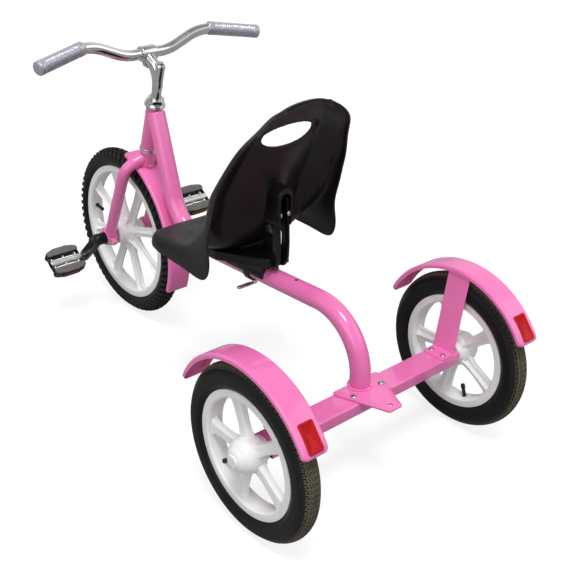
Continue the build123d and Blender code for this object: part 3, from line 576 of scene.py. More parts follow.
strap = dict(width=50.0, half=1.2, foot=172.95, bend=5.0, footIn=180.5, footOut=211.5, lean=233.45, top=332.3,
             corner=8.0)
rearFender = dict(radius=180.0, half=25.3, start=24.0, stop=151.0, lip=9.0, bevel=3.4, wall=1.5, corner=9.0)
frontFender = dict(radius=213.0, half=27.0, start=103.0, stop=202.3, lip=9.0, bevel=3.2, wall=1.5, corner=5.0,
                   centre=(787.5, 202))
reflector = dict(angle=141, span=16, half=14.7, corner=4.0, radius=181)


# distances from a rounded end of a strip, with rows drawn close together round its corners, and its half widths
# there: corner (1 - cos t) and half - corner (1 - sin t)
def roundedEnd(half, corner, count=9):
    t = np.linspace(0, pi / 2, count)
    return corner * (1 - np.cos(t)), half - corner + corner * np.sin(t)


# a strip carried round the axle by angle: its section has bevelled, turned-down lips, its ends have round corners,
# and near an end each point is held below the bevel and then the lip there, so that the lip runs right round
def fenderPart(look, centre, middle):
    half, top, wall, bevel = look["half"], look["radius"], look["wall"], look["bevel"]
    lip = top - look["lip"]
    outer = [(-half, lip), (-half, top - bevel), (bevel - half, top)]
    inner = [(-half + wall, lip), (-half + wall, top - bevel - 0.4 * wall), (bevel - half + 0.4 * wall, top - wall)]
    outer, inner = [line + [(-x, z) for x, z in line[::-1]] for line in (outer, inner)]
    outer = roundedPath(outer, 0.7, 0.3)
    section = np.concatenate([outer, evenSteps(roundedPath(inner, 0.6, 0.3), len(outer))[::-1]])
    inside = (np.arange(len(section)) >= len(outer)) * wall
    near, width = roundedEnd(half, look["corner"])
    near, width = np.concatenate([[0, 0], near[1:]]), np.concatenate([width[:1], width])
    drop = np.maximum(bevel - near, 0)
    drop[0] = look["lip"]
    first, last = radians(look["start"]) * top, radians(look["stop"]) * top
    long = np.linspace(first + look["corner"], last - look["corner"], 120)[1:-1]
    plain = np.zeros(len(long))
    along = np.concatenate([first + near, long, last - near[::-1]])
    width = np.concatenate([width, plain + half, width[::-1]])
    drop = np.concatenate([drop, plain, drop[::-1]])
    angle = np.clip(along[:, None], first + inside, last - inside) / top
    radius = np.minimum(section[:, 1], np.maximum(top - inside - drop[:, None], lip))
    rows = np.stack([centre[0] + radius * np.cos(angle), middle + section[:, 0] * width[:, None] / half,
                     centre[1] + radius * np.sin(angle)], -1)
    return closedGrid(rows, stripEnds=True)


# a flat bar's outline carried from its foot up to the fender, narrowed along the foot's round corners
def strapPart():
    s = strap
    near, width = roundedEnd(s["width"] / 2, s["corner"])
    rest = roundedPath([(0, s["footIn"] + s["corner"], s["foot"]), (0, s["footOut"], s["foot"]),
                        (0, s["lean"], s["top"] - 9), (0, s["lean"], s["top"])], s["bend"], 1.0)
    line = np.concatenate([np.stack([near * 0, s["footIn"] + near, near * 0 + s["foot"]], 1), rest[1:]])
    share = np.ones((len(line), 1, 1))
    share[:len(width), 0, 0] = width * 2 / s["width"]
    edge = [(x, z, s["half"]) for x in (s["width"] / 2 - s["half"], s["half"] - s["width"] / 2)
            for z in (0.05, -0.05)]
    section = hullOutline(edge, 48)[0][None] * np.concatenate([share, share * 0 + 1], 2)
    return closedGrid(carry(line, section, forward))


# a rounded lens laid round the fender: its outline is (length round, width), and its levels stand out from it
def lensPart(centre, middle):
    r = reflector
    reach = radians(r["span"]) * r["radius"] / 2 - r["corner"]
    side = r["half"] - r["corner"]
    outline, way = hullOutline([(x, y, r["corner"]) for x in (-reach, reach) for y in (-side, side)], 96)
    levels = np.concatenate([[[0, -0.5]], plateLevels(0, 2.5, 1.1)[4:], [[2.4, 2.5], [3.0, 1.9]]])
    flat = outline[None] - way[None] * levels[:, 0, None, None]
    angle = radians(r["angle"]) + flat[..., 0] / r["radius"]
    radius = r["radius"] - 1 + levels[:, 1, None]
    return closedGrid(np.stack([centre[0] + radius * np.cos(angle), middle + flat[..., 1],
                                centre[1] + radius * np.sin(angle)], -1))


# each fender is made on the left, and mirrored to the right
def buildFenders():
    for side in ("left", "right"):
        flip = side == "right"
        fender, lens = fenderPart(rearFender, rearAxle, halfTrack), lensPart(rearAxle, halfTrack)
        addPiece(side + "RearFenderPink", [fender], pink, "frame", [side + "_rear_fender"],
                 mirror=flip)
        addPiece(side + "FenderStrapPink", [strapPart()], pink, "frame", [side + "_fender_strap"],
                 mirror=flip)
        addPiece(side + "RedReflector", [lens], redAcrylic, "frame", [side + "_reflector"],
                 mirror=flip)
    addPiece("frontFenderPink", [fenderPart(frontFender, frontFender["centre"], 0)], pink, "steering",
             ["front_fender"])


buildFenders()
print("frame done")


# ring turned about a wheel's axle from a closed (across, radius) section, or one section for each angle
def wheelRing(section, centre, middle, count):
    angle = np.arange(count) * 2 * pi / count
    section = np.broadcast_to(section, (count,) + section.shape[-2:])
    rows = np.stack([centre[0] + section[..., 1] * np.cos(angle)[:, None], middle + section[..., 0],
                     centre[1] + section[..., 1] * np.sin(angle)[:, None]], -1)
    return closedGrid(rows, loop=True)


# tyre's closed section: a spline from one bead over the tread to the other, closed across its foot
def tyreSection(look, count=88):
    radius, half, bed, foot, flange = [look[key] for key in ("radius", "half", "bed", "foot", "flange")]
    side = (radius + flange) / 2 - 4
    edge, edgeRadius = 0.74 * half, radius - 9
    knots = np.array([(foot, flange), ((foot + half) / 2 + 1.4, flange + 5.5), (half, side),
                      (0.955 * half, (side + edgeRadius) / 2 + 2.0), (edge, edgeRadius),
                      (0.42 * half, radius - 2.6), (0, radius)])
    right = splineThrough(knots, count // 2)
    line = np.concatenate([right, right[-2::-1] * (-1, 1)])
    closing = np.array([(-foot, (flange + bed) / 2), (-foot, bed), (foot, bed), (foot, (flange + bed) / 2)])
    return np.concatenate([line, closing])


# zone is how far below the tread's top the cuts begin, and how quickly they deepen from there
frontTyre = dict(radius=197.0, half=21.5, flange=158.0, bed=146.0, foot=13.3, blocks=66, depth=4.2, slant=0.021,
                 zone=(22.0, 3.0), rows=990)
rearTyre = dict(radius=159.0, half=22.2, flange=116.0, bed=104.0, foot=14.0, blocks=96, depth=1.6, zone=(9.0, 1.5),
                rows=672, zigzag=3.2, pitch=4.4)


# front tread, 0 in the grooves and 1 on the knobs: two staggered middle rows between rows of shoulder lugs, all
# slanted back from the middle like chevrons
def frontTread(section, angle, look):
    side, r = section[None, :, 0], section[None, :, 1]
    y = np.abs(side)
    turn = angle[:, None] / (2 * pi) * look["blocks"] - look["slant"] * (y + look["radius"] - r)
    middle = (y > 0.9) & (y < 6.2) & ((turn + 0.5 * (side > 0)) % 1 < 0.62)
    second = (y > 7.6) & (y < 12.4) & (turn % 1 < 0.5)
    lug = (y > 13.6) & (turn % 1 < 0.47)
    return np.where(middle | second | lug, 1.0, 0.0)


# rear tread, likewise: fine zigzag grooves round the tyre between short shoulder ribs
def rearTread(section, angle, look):
    y = section[None, :, 0]
    turn = angle[:, None] / (2 * pi) * look["blocks"]
    zig = (np.abs(turn % 1 - 0.5) * 2 - 0.5) * look["zigzag"]
    groove = np.abs(((y + zig) / look["pitch"]) % 1 - 0.5) * 2
    notch = (np.abs((2 * turn) % 1 - 0.5) * 2 > 0.55) & (np.abs(y) > 13.0)
    return np.where((groove > 0.68) | notch, 0.0, 1.0)


# section pushed in away from its own middle wherever the tread is cut, with two bell-shaped ribs standing out of the
# sidewall; returns the ring and how high each point stands
def tyrePart(look, centre, middle, tread):
    section = tyreSection(look)
    angle = np.arange(look["rows"]) * 2 * pi / look["rows"]
    height, r, (low, ramp) = tread(section, angle, look), section[:, 1], look["zone"]
    inside = np.clip((r[None] - (look["radius"] - low)) / ramp, 0, 1)
    out = unit(section - (0, (look["radius"] + look["flange"]) / 2 - 6))
    sunk = look["depth"] * inside * (height - 1)
    bead = (0.7 * np.exp(-((r - look["flange"] - 10) / 1.3) ** 2)
            + 0.4 * np.exp(-((r - look["radius"] + 17) / 0.9) ** 2)) * (np.abs(section[:, 0]) > 16)
    ring = wheelRing(section[None] + out[None] * (sunk + bead)[..., None], centre, middle, look["rows"])
    return ring, height * inside


# closed rim channel with rounded corners: (across, radius)
def rimSection(half, flange, depth=16.0, wall=4.0):
    inner = flange - depth
    bed, inside, bevel = inner + wall, half - wall + 1, wall - 1
    right = [(inside, bed), (inside, flange), (half, flange), (half, inner + bevel), (half - bevel, inner)]
    corners = [(0, inner)] + [(-x, z) for x, z in right[::-1]] + right + [(0, inner)]
    return roundedPath(corners, 0.9, 0.5)[:-1]


# one spoke, carried out from the hub: its section is |w|^8 + |v|^8 = 1, drawn in towards the outside by its draft,
# and on a side whose share is under one, only a bell-shaped rib along the middle keeps its full height; its width
# pinches in at the waist and flares into the rim, and it is thicker at its root
def spokePart(look, centre, middle, turn):
    t = np.linspace(0, 1, 40)[:, None]
    reach = look["hub"] - 4 + t * (look["rim"] + 2.5 - look["hub"] + 4)
    half = look["waist"] + (look["root"] - look["waist"]) * np.clip(1 - t / 0.45, 0, 1) ** 2
    half = half + (look["foot"] - look["waist"]) * np.clip((t - 0.45) / 0.55, 0, 1) ** 2
    half = half + look["fillet"] * np.clip((t - 0.84) / 0.16, 0, 1) ** 2.6
    thick = look["thick"] / 2 + look["rise"] * np.clip(1 - t / 0.35, 0, 1) ** 2
    w = np.sin(np.linspace(-pi / 2, pi / 2, 25))
    v = (1 - np.abs(w) ** 8) ** (1 / 8)
    rib = np.exp(-(w / look["ribWidth"]) ** 2)
    above, below = [v * (share + (1 - share) * rib) for share in look["share"]]
    w, v = np.concatenate([w, w[-2:0:-1]]), np.concatenate([above, -below[-2:0:-1]])
    way, flat = vec(sin(turn), 0, cos(turn)), vec(cos(turn), 0, -sin(turn))
    width = half * w * (1 - look["draft"] * (v + 1) / 2)
    rows = (vec(centre[0], middle, centre[1]) + reach[..., None] * way + width[..., None] * flat
            + (thick * v)[..., None] * vec(0, 1, 0))
    return closedGrid(rows)


# starts are in degrees from straight up; hub and cap profiles are (across, radius), and a valve's stem is
# (distance in from the rim, radius)
rearSpokes = dict(count=5, hub=23.0, rim=100.0, root=19.0, waist=13.0, foot=19.0, fillet=12.0, thick=18.0, rise=6.0,
                  draft=0.3, share=(1.0, 0.35), ribWidth=0.3)
frontSpokes = dict(count=8, hub=27.0, rim=142.0, root=14.0, waist=11.0, foot=16.5, fillet=13.0, thick=21.0, rise=7.0,
                   draft=0.0, share=(0.36, 0.36), ribWidth=0.17)
rearWheel = dict(
    starts=dict(left=20.0, right=24.0), rim=(17.0, 116.0), valve=102, valveAt=dict(left=131, right=198),
    hub=[(-22.5, 6.1), (-22.5, 22), (-13, 24), (-8, 31), (14, 31.8), (21, 30.6), (27.5, 27.4), (32, 23.2), (32, 6.1)],
    cap=[(30, 9), (30, 24.4), (34.5, 21), (37.8, 17), (39.2, 13.6), (38.6, 12.6), (41.6, 12.2), (42.4, 11.2),
         (42.4, 0.4)])
frontWheel = dict(
    start=17.0, rim=(16.3, 158.0), valve=143, valveAt=83,
    hub=[(-34, 8.1), (-34, 20), (-30, 22), (-24, 20.5), (-15, 25), (-8, 35), (8, 35), (15, 25), (24, 20.5), (30, 22),
         (34, 20), (34, 8.1)])
valveStem = [(0, 5), (2, 5), (3, 3.7), (19, 3.5), (20, 4.4), (27, 4.1), (28, 2.6)]


# the stem's profile turned about a radius of the wheel, inwards from the rim's bed
def valvePart(centre, middle, bed, degrees):
    way = vec(sin(radians(degrees)), 0, cos(radians(degrees)))
    return turned(vec(centre[0], middle, centre[1]) + way * bed, -way, valveStem, 24)


# even turns of 360 / count degrees from the start
def spokeParts(look, centre, middle, start):
    return [spokePart(look, centre, middle, radians(start + 360 / look["count"] * k)) for k in range(look["count"])]


# tyres, rims with their hubs and spokes, caps and valves
def buildWheels():
    w, hubAt = rearWheel, (rearAxle[0], halfTrack, rearAxle[1])
    for side in ("left", "right"):
        flip, body = side == "right", "rear_%s_wheel" % side
        part, treadRise = tyrePart(rearTyre, rearAxle, halfTrack, rearTread)
        addPiece(side + "RearTyre", [part], rearRubber[side], body, [side + "_rear_tyre"], 50, flip,
                 treadRise)
        parts = [wheelRing(rimSection(*w["rim"]), rearAxle, halfTrack, 160),
                 turned(hubAt, leftward, softened(w["hub"], 1.8, 0.6), 96)]
        parts += spokeParts(rearSpokes, rearAxle, halfTrack, w["starts"][side])
        addPiece(side + "RearWheelWhite", parts, nylon, body, [side + "_rear_rim"], 35, flip)
        cap = turned(hubAt, leftward, softened(w["cap"], 0.5, 0.3), 96)
        addPiece(side + "HubCapWhite", [cap], nylon, body, [side + "_hub_cap"], 35, flip)
        valve = valvePart(rearAxle, halfTrack, w["valve"], w["valveAt"][side])
        addPiece(side + "ValveStem", [valve], darkRubber, body, mirror=flip)
    w = frontWheel
    parts = [wheelRing(rimSection(*w["rim"]), frontAxle, 0, 200),
             turned(frontHub, leftward, softened(w["hub"], 1.2, 0.6), 96)]
    parts += spokeParts(frontSpokes, frontAxle, 0, w["start"])
    addPiece("frontWheelWhite", parts, nylon, "front_wheel", ["front_rim"], 35)
    part, treadRise = tyrePart(frontTyre, frontAxle, 0, frontTread)
    addPiece("frontTyreBlack", [part], frontRubber, "front_wheel", ["front_tyre"], 50, treadRise=treadRise)
    addPiece("frontValveStem", [valvePart(frontAxle, 0, w["valve"], w["valveAt"])], darkRubber, "front_wheel")


buildWheels()
print("wheels done")


fork = dict(legRadius=12.7, halfGap=51.0, bend=40.0, root=20.0, knee=22.0, boltOut=20.0, weld=1.7, weldRadius=13.6,
            crown=[(-4.4, 8), (-4.4, 17), (-40, 17.4), (-45, 14.5), (-45, 3)],
            barrel=[(38, 8.2), (38, 18), (64, 18), (64, 8.2)], lobes=[(-20, 0, 7), (0, 0, 15), (20, 0, 7)],
            washer=[(63.6, 9), (63.6, 14.6), (64.3, 14.6), (64.3, 9)])


# a leg runs from the crown to its knee and down to the hub; the bearing's barrel is turned about the axle
def buildFork():
    f = fork
    start, hub = headPoint(-f["root"]), frontHub + (0, f["halfGap"], 0)
    line = start - frontHub
    knee = hub + unit(line) * (np.linalg.norm(line) - f["knee"])
    legWay = unit(knee - hub)
    side, across = np.cross(leftward, legWay), unit(np.cross(legWay, leftward))
    path = roundedPath([start - (0, 4, 0), knee, hub + legWay * 13], f["bend"], 2.5)
    leg = cappedTube(path, f["legRadius"], 3.0, 56, side)
    addPiece("forkCrownPink", [turned(headLow, headUp, softened(f["crown"], 2.2, 0.6), 72)], pink, "steering",
             ["fork_crown"])
    barrel = turned(frontHub, leftward, softened(f["barrel"], 1.6, 0.5), 72)
    washer = turned(frontHub, leftward, softened(f["washer"], 0.2, 0.1), 64)
    ears = stacked(f["lobes"], plateLevels(-6, 6, 1.4), hub, across, legWay)
    spots = [across * s * f["boltOut"] for s in (1, -1)]
    bolts = [hexHead(hub + (0, 6, 0) + spot, leftward, 4.4, 3.6) for spot in spots]
    bolts += [boltHead(hub + (0, 9.4, 0) + spot, leftward, 3.2, 1.8) for spot in spots]
    ring = circle(f["weldRadius"], 180)
    bead = weldBead(hub + legWay * 17.2 + ring[:, :1] * side + ring[:, 1:] * vec(0, 1, 0), f["weld"], 34)
    for name, flip in (("left", False), ("right", True)):
        addPiece(name + "ForkLegPink", [leg], pink, "steering", [name + "_fork_leg"], mirror=flip)
        addPiece(name + "BearingHousingPink", [barrel, ears], pink, "steering", [name + "_bearing_housing"],
                 mirror=flip)
        addPiece(name + "BearingBolts", bolts + [washer], chrome, "steering", mirror=flip)
        addPiece(name + "ForkWeld", [bead], pink, "steering", mirror=flip)
    bolt = headPoint(-36) + headBack * 16.6
    addPiece("crownBolt", [hexHead(bolt, headBack, 5.0, 3.2), boltHead(bolt + headBack * 3, headBack, 3.4, 1.6)],
             chrome, "steering")


buildFork()

bar = dict(radius=11.1, bend=108.0, middle=vec(667, 0, 637), flat=52.0, knee=132.0, rise=34.0,
           tip=vec(633, 256, 653))
# profiles are (distance up the steering axis, radius), the sleeve's along the bar; ear is (x, y, radius)
stem = dict(quill=[(80, 3), (80, 11.1), (128, 11.1), (140, 9.8), (190, 9.6), (198, 10.4), (203, 8.4), (203, 0.5)],
            washer=[(115.1, 13), (115.1, 18.6), (116.3, 18.6), (116.3, 13)],
            nutTop=[(124, 15.2), (124.4, 14.9), (125.2, 13.2), (125.2, 11.2)],
            sleeve=[(-17, 11.3), (-17, 15.5), (17, 15.5), (17, 11.3)], neck=(132, 181), neckBend=44, neckRows=40,
            ear=[(-6.0, 0, 5.5), (6.0, 0, 5.5), (0.0, 15, 6.5)], down=vec(0.15, 0, -1))
# distances back from the grip's end; each collar is (distance, radius)
grip = dict(start=16.0, stop=102.0, radius=13.55, rib=0.35, pitch=4.2,
            outer=[(0, 0.6), (0, 9.5), (-0.8, 12.6), (-2.6, 13.9), (-12.4, 14.1), (-13.6, 13.6), (-14.2, 13.2)],
            inner=[(-102.6, 13.2), (-103.2, 14.0), (-113.5, 14.1), (-115.6, 13.5), (-117, 12.4), (-117, 11.3)])


# an ellipse carried up from the quill and forward to the bar; it thickens at its middle and widens at the clamp
def neckPart():
    low, high = stem["neck"]
    path = roundedPath([headPoint(low), headPoint(high) - headBack * 2, bar["middle"]], stem["neckBend"], 1.5)
    t = np.linspace(0, 1, stem["neckRows"])[:, None]
    wide = 10.8 - 1.0 * (1 - t) ** 2 + 3.2 * t**4
    tall = 10.6 + 3.6 * np.sin(pi * t) ** 2 + 1.0 * t**4
    section = np.stack([circle(1)[:, 0] * wide, circle(1)[:, 1] * tall], -1)
    return closedGrid(carry(evenSteps(path, stem["neckRows"]), section, leftward))


# a quill turned about the steering axis, its neck, and a sleeve round the bar with two ears and a clamp bolt
def buildStem():
    s, clamp, down = stem, bar["middle"], unit(stem["down"])
    across = np.cross(leftward, down)
    nut = [hexHead(headPoint(116.4), headUp, 16.0, 8.0, 0.2)]
    nut += [turned(headLow, headUp, softened(s[key], 0.3, 0.1)) for key in ("washer", "nutTop")]
    addPiece("headsetLocknut", nut, chrome, "steering", ["headset_locknut"])
    ears = [stacked(s["ear"], plateLevels(low, low + 5.5, 0.8), clamp + down * 9, leftward, down)
            for low in (1.0, -6.5)]
    shapes = [turned(headLow, headUp, softened(s["quill"], 2.0, 0.6)), neckPart(),
              turned(clamp, leftward, softened(s["sleeve"], 1.4, 0.4)), *ears]
    addPiece("stemChrome", shapes, chrome, "steering", ["stem"])
    spot = clamp + down * 24
    bolts = [hexHead(spot + across * 6.4, across, 5.0, 3.6), boltHead(spot - across * 6.4, -across, 5.2, 3.0),
             hexHead(headPoint(203.6), headUp, 5.0, 3.6, 0.3),
             turned(headPoint(203.2), headUp, [(0, 6.6), (0.9, 6.4)], 32)]
    addPiece("stemBolts", bolts, zinc, "steering")


# a circle carried along one path from grip to grip, and grips whose radius ripples as a cosine between two collars
def buildBar():
    b, g = bar, grip
    flat, knee = b["middle"] + (0, b["flat"], 0), b["middle"] + (0, b["knee"], b["rise"])
    half = roundedPath([b["middle"], flat, knee, b["tip"]], b["bend"], 2.0)
    path = np.concatenate([half[::-1], half[1:] * (1, -1, 1)])
    addPiece("handlebarChrome", [closedGrid(carry(path, circle(b["radius"], 64), forward))], chrome, "steering",
             ["handlebar"])
    along = unit(b["tip"] - knee)
    s = np.arange(0, g["stop"] - g["start"], 0.5)
    body = np.stack([-g["start"] - s, g["radius"] + g["rib"] * np.cos(s * 2 * pi / g["pitch"])], 1)
    part = turned(b["tip"] + along * 3, along, np.concatenate([g["outer"], body, g["inner"]]), 72)
    for side in ("left", "right"):
        addPiece(side + "GripGlitter", [part], glitter, "steering", [side + "_grip"],
                 mirror=side == "right")


buildStem()
buildBar()
print("steering done")

# boss and spindle are (across, radius); the arm's outline is (distance along it, half width, corner radius)
crank = dict(length=93.0, angle=radians(-44), armFaces=(78.4, 89.0), grooves=(67.0, 71.0, 75.0), bossRadius=13.5,
             arm=[(-4, 8, 5), (16, 7, 4), (75, 6.2, 3.6), (86, 8, 4), (99, 8, 4)],
             spindle=[(88, 0.4), (88, 6), (170, 6), (170, 0.4)])
pedal = dict(inside=94.0, length=82.0, tilt=radians(35), spacing=49.0, ribs=21, pitch=3.6, plateAt=36.5, rodAt=30,
             barrel=[(-38, 6.1), (-38, 8.4), (-24, 8.4), (-14, 7.4), (14, 7.4), (24, 8.4), (38, 8.4), (38, 6.1)],
             rod=[(0, 0.4), (0, 3), (60, 3), (60, 0.4)],
             treadLevels=[(2.2, -10.6), (1.4, -10.2), (1.4, 10.2), (2.2, 10.6)],
             ribLevels=[(0.4, -11.2), (0, -10.4), (0, 10.4), (0.4, 11.2)])


# the right side's part: every point reflected through the middle of the front axle, for the cranks are opposed
def opposePart(part):
    verts, quads, tris = part
    return 2 * frontHub - verts, quads[:, ::-1], tris[:, ::-1]


# a round boss with three grooves, and a flat arm with rounded edges round a set of circles
def crankParts(way, flat):
    c, wide = crank, crank["bossRadius"]
    boss = [(64.4, 8.2), (64.4, 12.9), (65, wide)]
    for start in c["grooves"]:
        boss += [(start, wide), (start + 0.4, wide - 0.9), (start + 1.6, wide - 0.9), (start + 2, wide)]
    boss += [(87.5, wide), (89.6, 12), (90.2, 10), (90.2, 0.4)]
    arm = [(x, side * y, r) for x, y, r in c["arm"] for side in (1, -1)]
    low, high = c["armFaces"]
    return [turned(frontHub, leftward, boss, 72),
            stacked(arm, plateLevels(-high, -low, 1.6), frontHub, way, flat)]


# two bowed blocks, each with a thin pale tread all over and rows of ribs across it, shorter near its ends
def padParts(centre, ex):
    blocks, treads = [], []
    for side in (1, -1):
        spot = centre + ex * side * pedal["spacing"] / 2
        bow = [(-side * 2.0, -32, 7.5), (-side * 2.0, 32, 7.5), (side * 1.5, -14, 9.0), (side * 1.5, 14, 9.0)]
        blocks.append(stacked(bow, plateLevels(-10.2, 10.2, 1.6), spot, ex, leftward))
        treads.append(stacked(bow, pedal["treadLevels"], spot, ex, leftward))
        for k in range(pedal["ribs"]):
            y = (k - (pedal["ribs"] - 1) / 2) * pedal["pitch"]
            half = 7.0 - max(0, abs(y) - 26) * 0.35
            treads.append(stacked([(-half, 0, 1.0), (half, 0, 1.0)], pedal["ribLevels"], spot + (0, y, 0), ex,
                                  leftward, 16))
    return blocks, treads


# cranks on the front axle with pedals at their ends, each pair opposed
def buildDrive():
    c, p = crank, pedal
    way, flat = vec(cos(c["angle"]), 0, sin(c["angle"])), vec(-sin(c["angle"]), 0, cos(c["angle"]))
    ex, ez = vec(cos(p["tilt"]), 0, sin(p["tilt"])), vec(-sin(p["tilt"]), 0, cos(p["tilt"]))
    pin = frontHub + way * c["length"]
    centre = pin + (0, p["inside"] + p["length"] / 2, 0)
    plates = [stacked([(x, z, 2.0) for x in (-15, 15) for z in (-5, 5)], plateLevels(y - 1.5, y + 1.5, 0.5), centre,
                      ex, ez) for y in (-p["plateAt"], p["plateAt"])]
    barrel = [turned(centre, leftward, softened(p["barrel"], 0.8, 0.3))]
    barrel += [turned(centre + (0, y, 0) - ex * 30, ex, softened(p["rod"], 0.8, 0.3), 24)
               for y in (-p["rodAt"], 0, p["rodAt"])]
    blocks, treads = padParts(centre, ex)
    lens = [(x, y, 2) for x in (-5, 5) for y in (-20, 20)]
    lenses = [stacked(lens, plateLevels(low, low + 2.0, 0.7), centre + ex * side * (p["spacing"] / 2 + 9.2), ez,
                      leftward) for side, low in ((-1, 0), (1, -2.0))]
    spindle = [turned(pin, leftward, softened(c["spindle"], 0.8, 0.3))]
    for name, shapes, material, node, body, slotName in (
            ("CrankBlack", crankParts(way, flat), blackSteel, "crank", "front_wheel", "black_steel"),
            ("CrankSpindle", spindle, zinc, None, "front_wheel", "zinc_steel"),
            ("PedalBarrel", barrel, castSilver, None, "pedal", "zinc_steel"),
            ("PedalCage", plates, blackPlastic, "pedal_cage", "pedal", "black_plastic"),
            ("PedalBlock", blocks, darkRubber, "pedal_pads", "pedal", "pedal_rubber"),
            ("PedalRibs", treads, padRubber, None, "pedal", "pedal_rubber"),
            ("PedalReflector", lenses, amberAcrylic, None, "pedal", "reflector_red")):
        for side in ("left", "right"):
            made = [opposePart(shape) for shape in shapes] if side == "right" else shapes
            addPiece(side + name, made, material, side + "_pedal" if body == "pedal" else body,
                     [side + "_" + node] if node else ())
    for node in ("crank_axle", "steerer_tube", "left_stub_axle", "right_stub_axle"):
        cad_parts[node].material_slots[0].material = zinc


buildDrive()
print("drive done")


# rows of the seat, each the middle, crease, crest and free edge in x, y, z from its clamp
seatRows = np.array([
    (142, 0, 48, 142, 84, 48, 140, 120, 47, 136, 141, 45),
    (136, 0, 66, 136, 84, 67, 131, 129, 68, 122, 148, 47),
    (110, 0, 66, 110, 85, 71, 108, 134, 72, 98, 151, 45),
    (83, 0, 62, 83, 86, 70, 81, 136, 73, 72, 151, 44),
    (33, 0, 52, 33, 88, 64, 29, 138, 79, 0, 152, 43),
    (1, 0, 57, 3, 88, 68, 1, 139, 94, -48, 152, 46),
    (-17, 0, 82, -12, 88, 87, -18, 138, 115, -62, 151, 78),
    (-25, 0, 114, -14, 88, 122, -36, 138, 141, -58, 150, 118),
    (-34, 0, 148, -19, 88, 152, -49, 138, 169, -68, 149, 163),
    (-46, 0, 187, -31, 88, 190, -58, 138, 200, -77, 148, 198),
    (-67, 0, 234, -54, 86, 232, -75, 132, 234, -89, 143, 233),
    (-89, 0, 282, -82, 78, 282, -96, 116, 280, -108, 127, 279),
    (-114, 0, 326, -110, 64, 324, -115, 102, 311, -126, 113, 312),
    (-129, 0, 352, -127, 46, 347, -126, 84, 332, -137, 93, 335),
    (-139, 0, 367, -136, 36, 362, -131, 62, 350, -141, 70, 352),
    (-152, 0, 371, -148, 26, 368, -144, 44, 362, -150, 50, 361)], float).reshape(16, 4, 3)
seat = dict(clampX=317.0, wall=4.0, rows=221, columns=49, crease=0.42, crest=0.68, rim=1.6,
            hole=vec(-98, 0, 297), holeHalf=57.0, holeHigh=25.0, holeSlope=0.45, holeReach=45, step=2.0,
            sink=5.0, sinkReach=9.0, roll=1.3, rollReach=2.6, swell=28.0, swellHalf=44.0, swellHigh=68.0,
            swellMiddle=148.0)
seatPlace = runPoint(seat["clampX"])
runAhead = vec(cos(radians(4)), 0, -sin(radians(4)))
runAbove = vec(sin(radians(4)), 0, cos(radians(4)))
runAside = np.cross(runAbove, runAhead)
holeAxis = unit(vec(1, 0, seat["holeSlope"]))
holeRise = np.cross(holeAxis, leftward)


# half of one face: middle to crease by a parabola, on to the crest by a smooth step, then a quarter turn to the edge
def seatHalf(lines, lift):
    s = seat
    way = np.gradient(lines[:, 0], axis=0)
    toward = unit(np.stack([way[:, 2], np.zeros(len(way)), -way[:, 0]], 1)) * lift
    centre, crease, crest = [lines[:, k] + toward for k in range(3)]
    crest = crest + (0, lift / 2, 0)
    edge = lines[:, 3] + (0, lift, 0)
    across = np.linspace(0, 1, s["columns"])
    first, second, third = across < s["crease"], (across >= s["crease"]) & (across < s["crest"]), across >= s["crest"]
    a = (across[first] / s["crease"])[None, :, None]
    b = ((across[second] - s["crease"]) / (s["crest"] - s["crease"]))[None, :, None]
    c = (pi / 2 * (across[third] - s["crest"]) / (1 - s["crest"]))[None, :, None]
    flat, deep = vec(0, 1, 0), vec(1, 0, 1)
    centre, crease, crest, edge = [line[:, None] for line in (centre, crease, crest, edge)]
    inner = (centre + (crease - centre) * a**2) * deep + crease * a * flat
    step = 0.7 * b + 0.3 * b**2 * (3 - 2 * b)
    middle = (crease + (crest - crease) * step) * deep + (crease + (crest - crease) * b) * flat
    outer = (crest + (edge - crest) * (1 - np.cos(c))) * deep + (crest + (edge - crest) * np.sin(c)) * flat
    return np.concatenate([inner, middle, outer], 1)


# how far each point of a face is from the hand hole's ellipse, seen along the hole's axis, and how high above it
def holeDistance(points):
    s = seat
    gap = points - s["hole"]
    across, above = gap[..., 1], gap @ holeRise
    size = np.hypot(across / s["holeHalf"], above / s["holeHigh"])
    slope = np.hypot(across / s["holeHalf"] ** 2, above / s["holeHigh"] ** 2) / np.maximum(size, 1e-6)
    return (size - 1) / np.maximum(slope, 1e-6), above


# face moved towards the rider by a step round the hand hole, deepest above it, and rolled in at the hole's very edge
def dentedFace(face, roll):
    s = seat
    away, above = holeDistance(face)
    sunk = np.clip((s["sinkReach"] + s["step"] - away) / s["step"], 0, 1)
    sunk = s["sink"] * sunk**2 * (3 - 2 * sunk) * (0.25 + 0.75 * np.clip((above + 18) / 24, 0, 1))
    normal = unit(np.cross(np.gradient(face, axis=0), np.gradient(face, axis=1)))
    ahead = np.where(normal[..., :1] < 0, -normal, normal)
    return face + ahead * (sunk + roll * np.clip(1 - away / s["rollReach"], 0, 1) ** 2)[..., None]


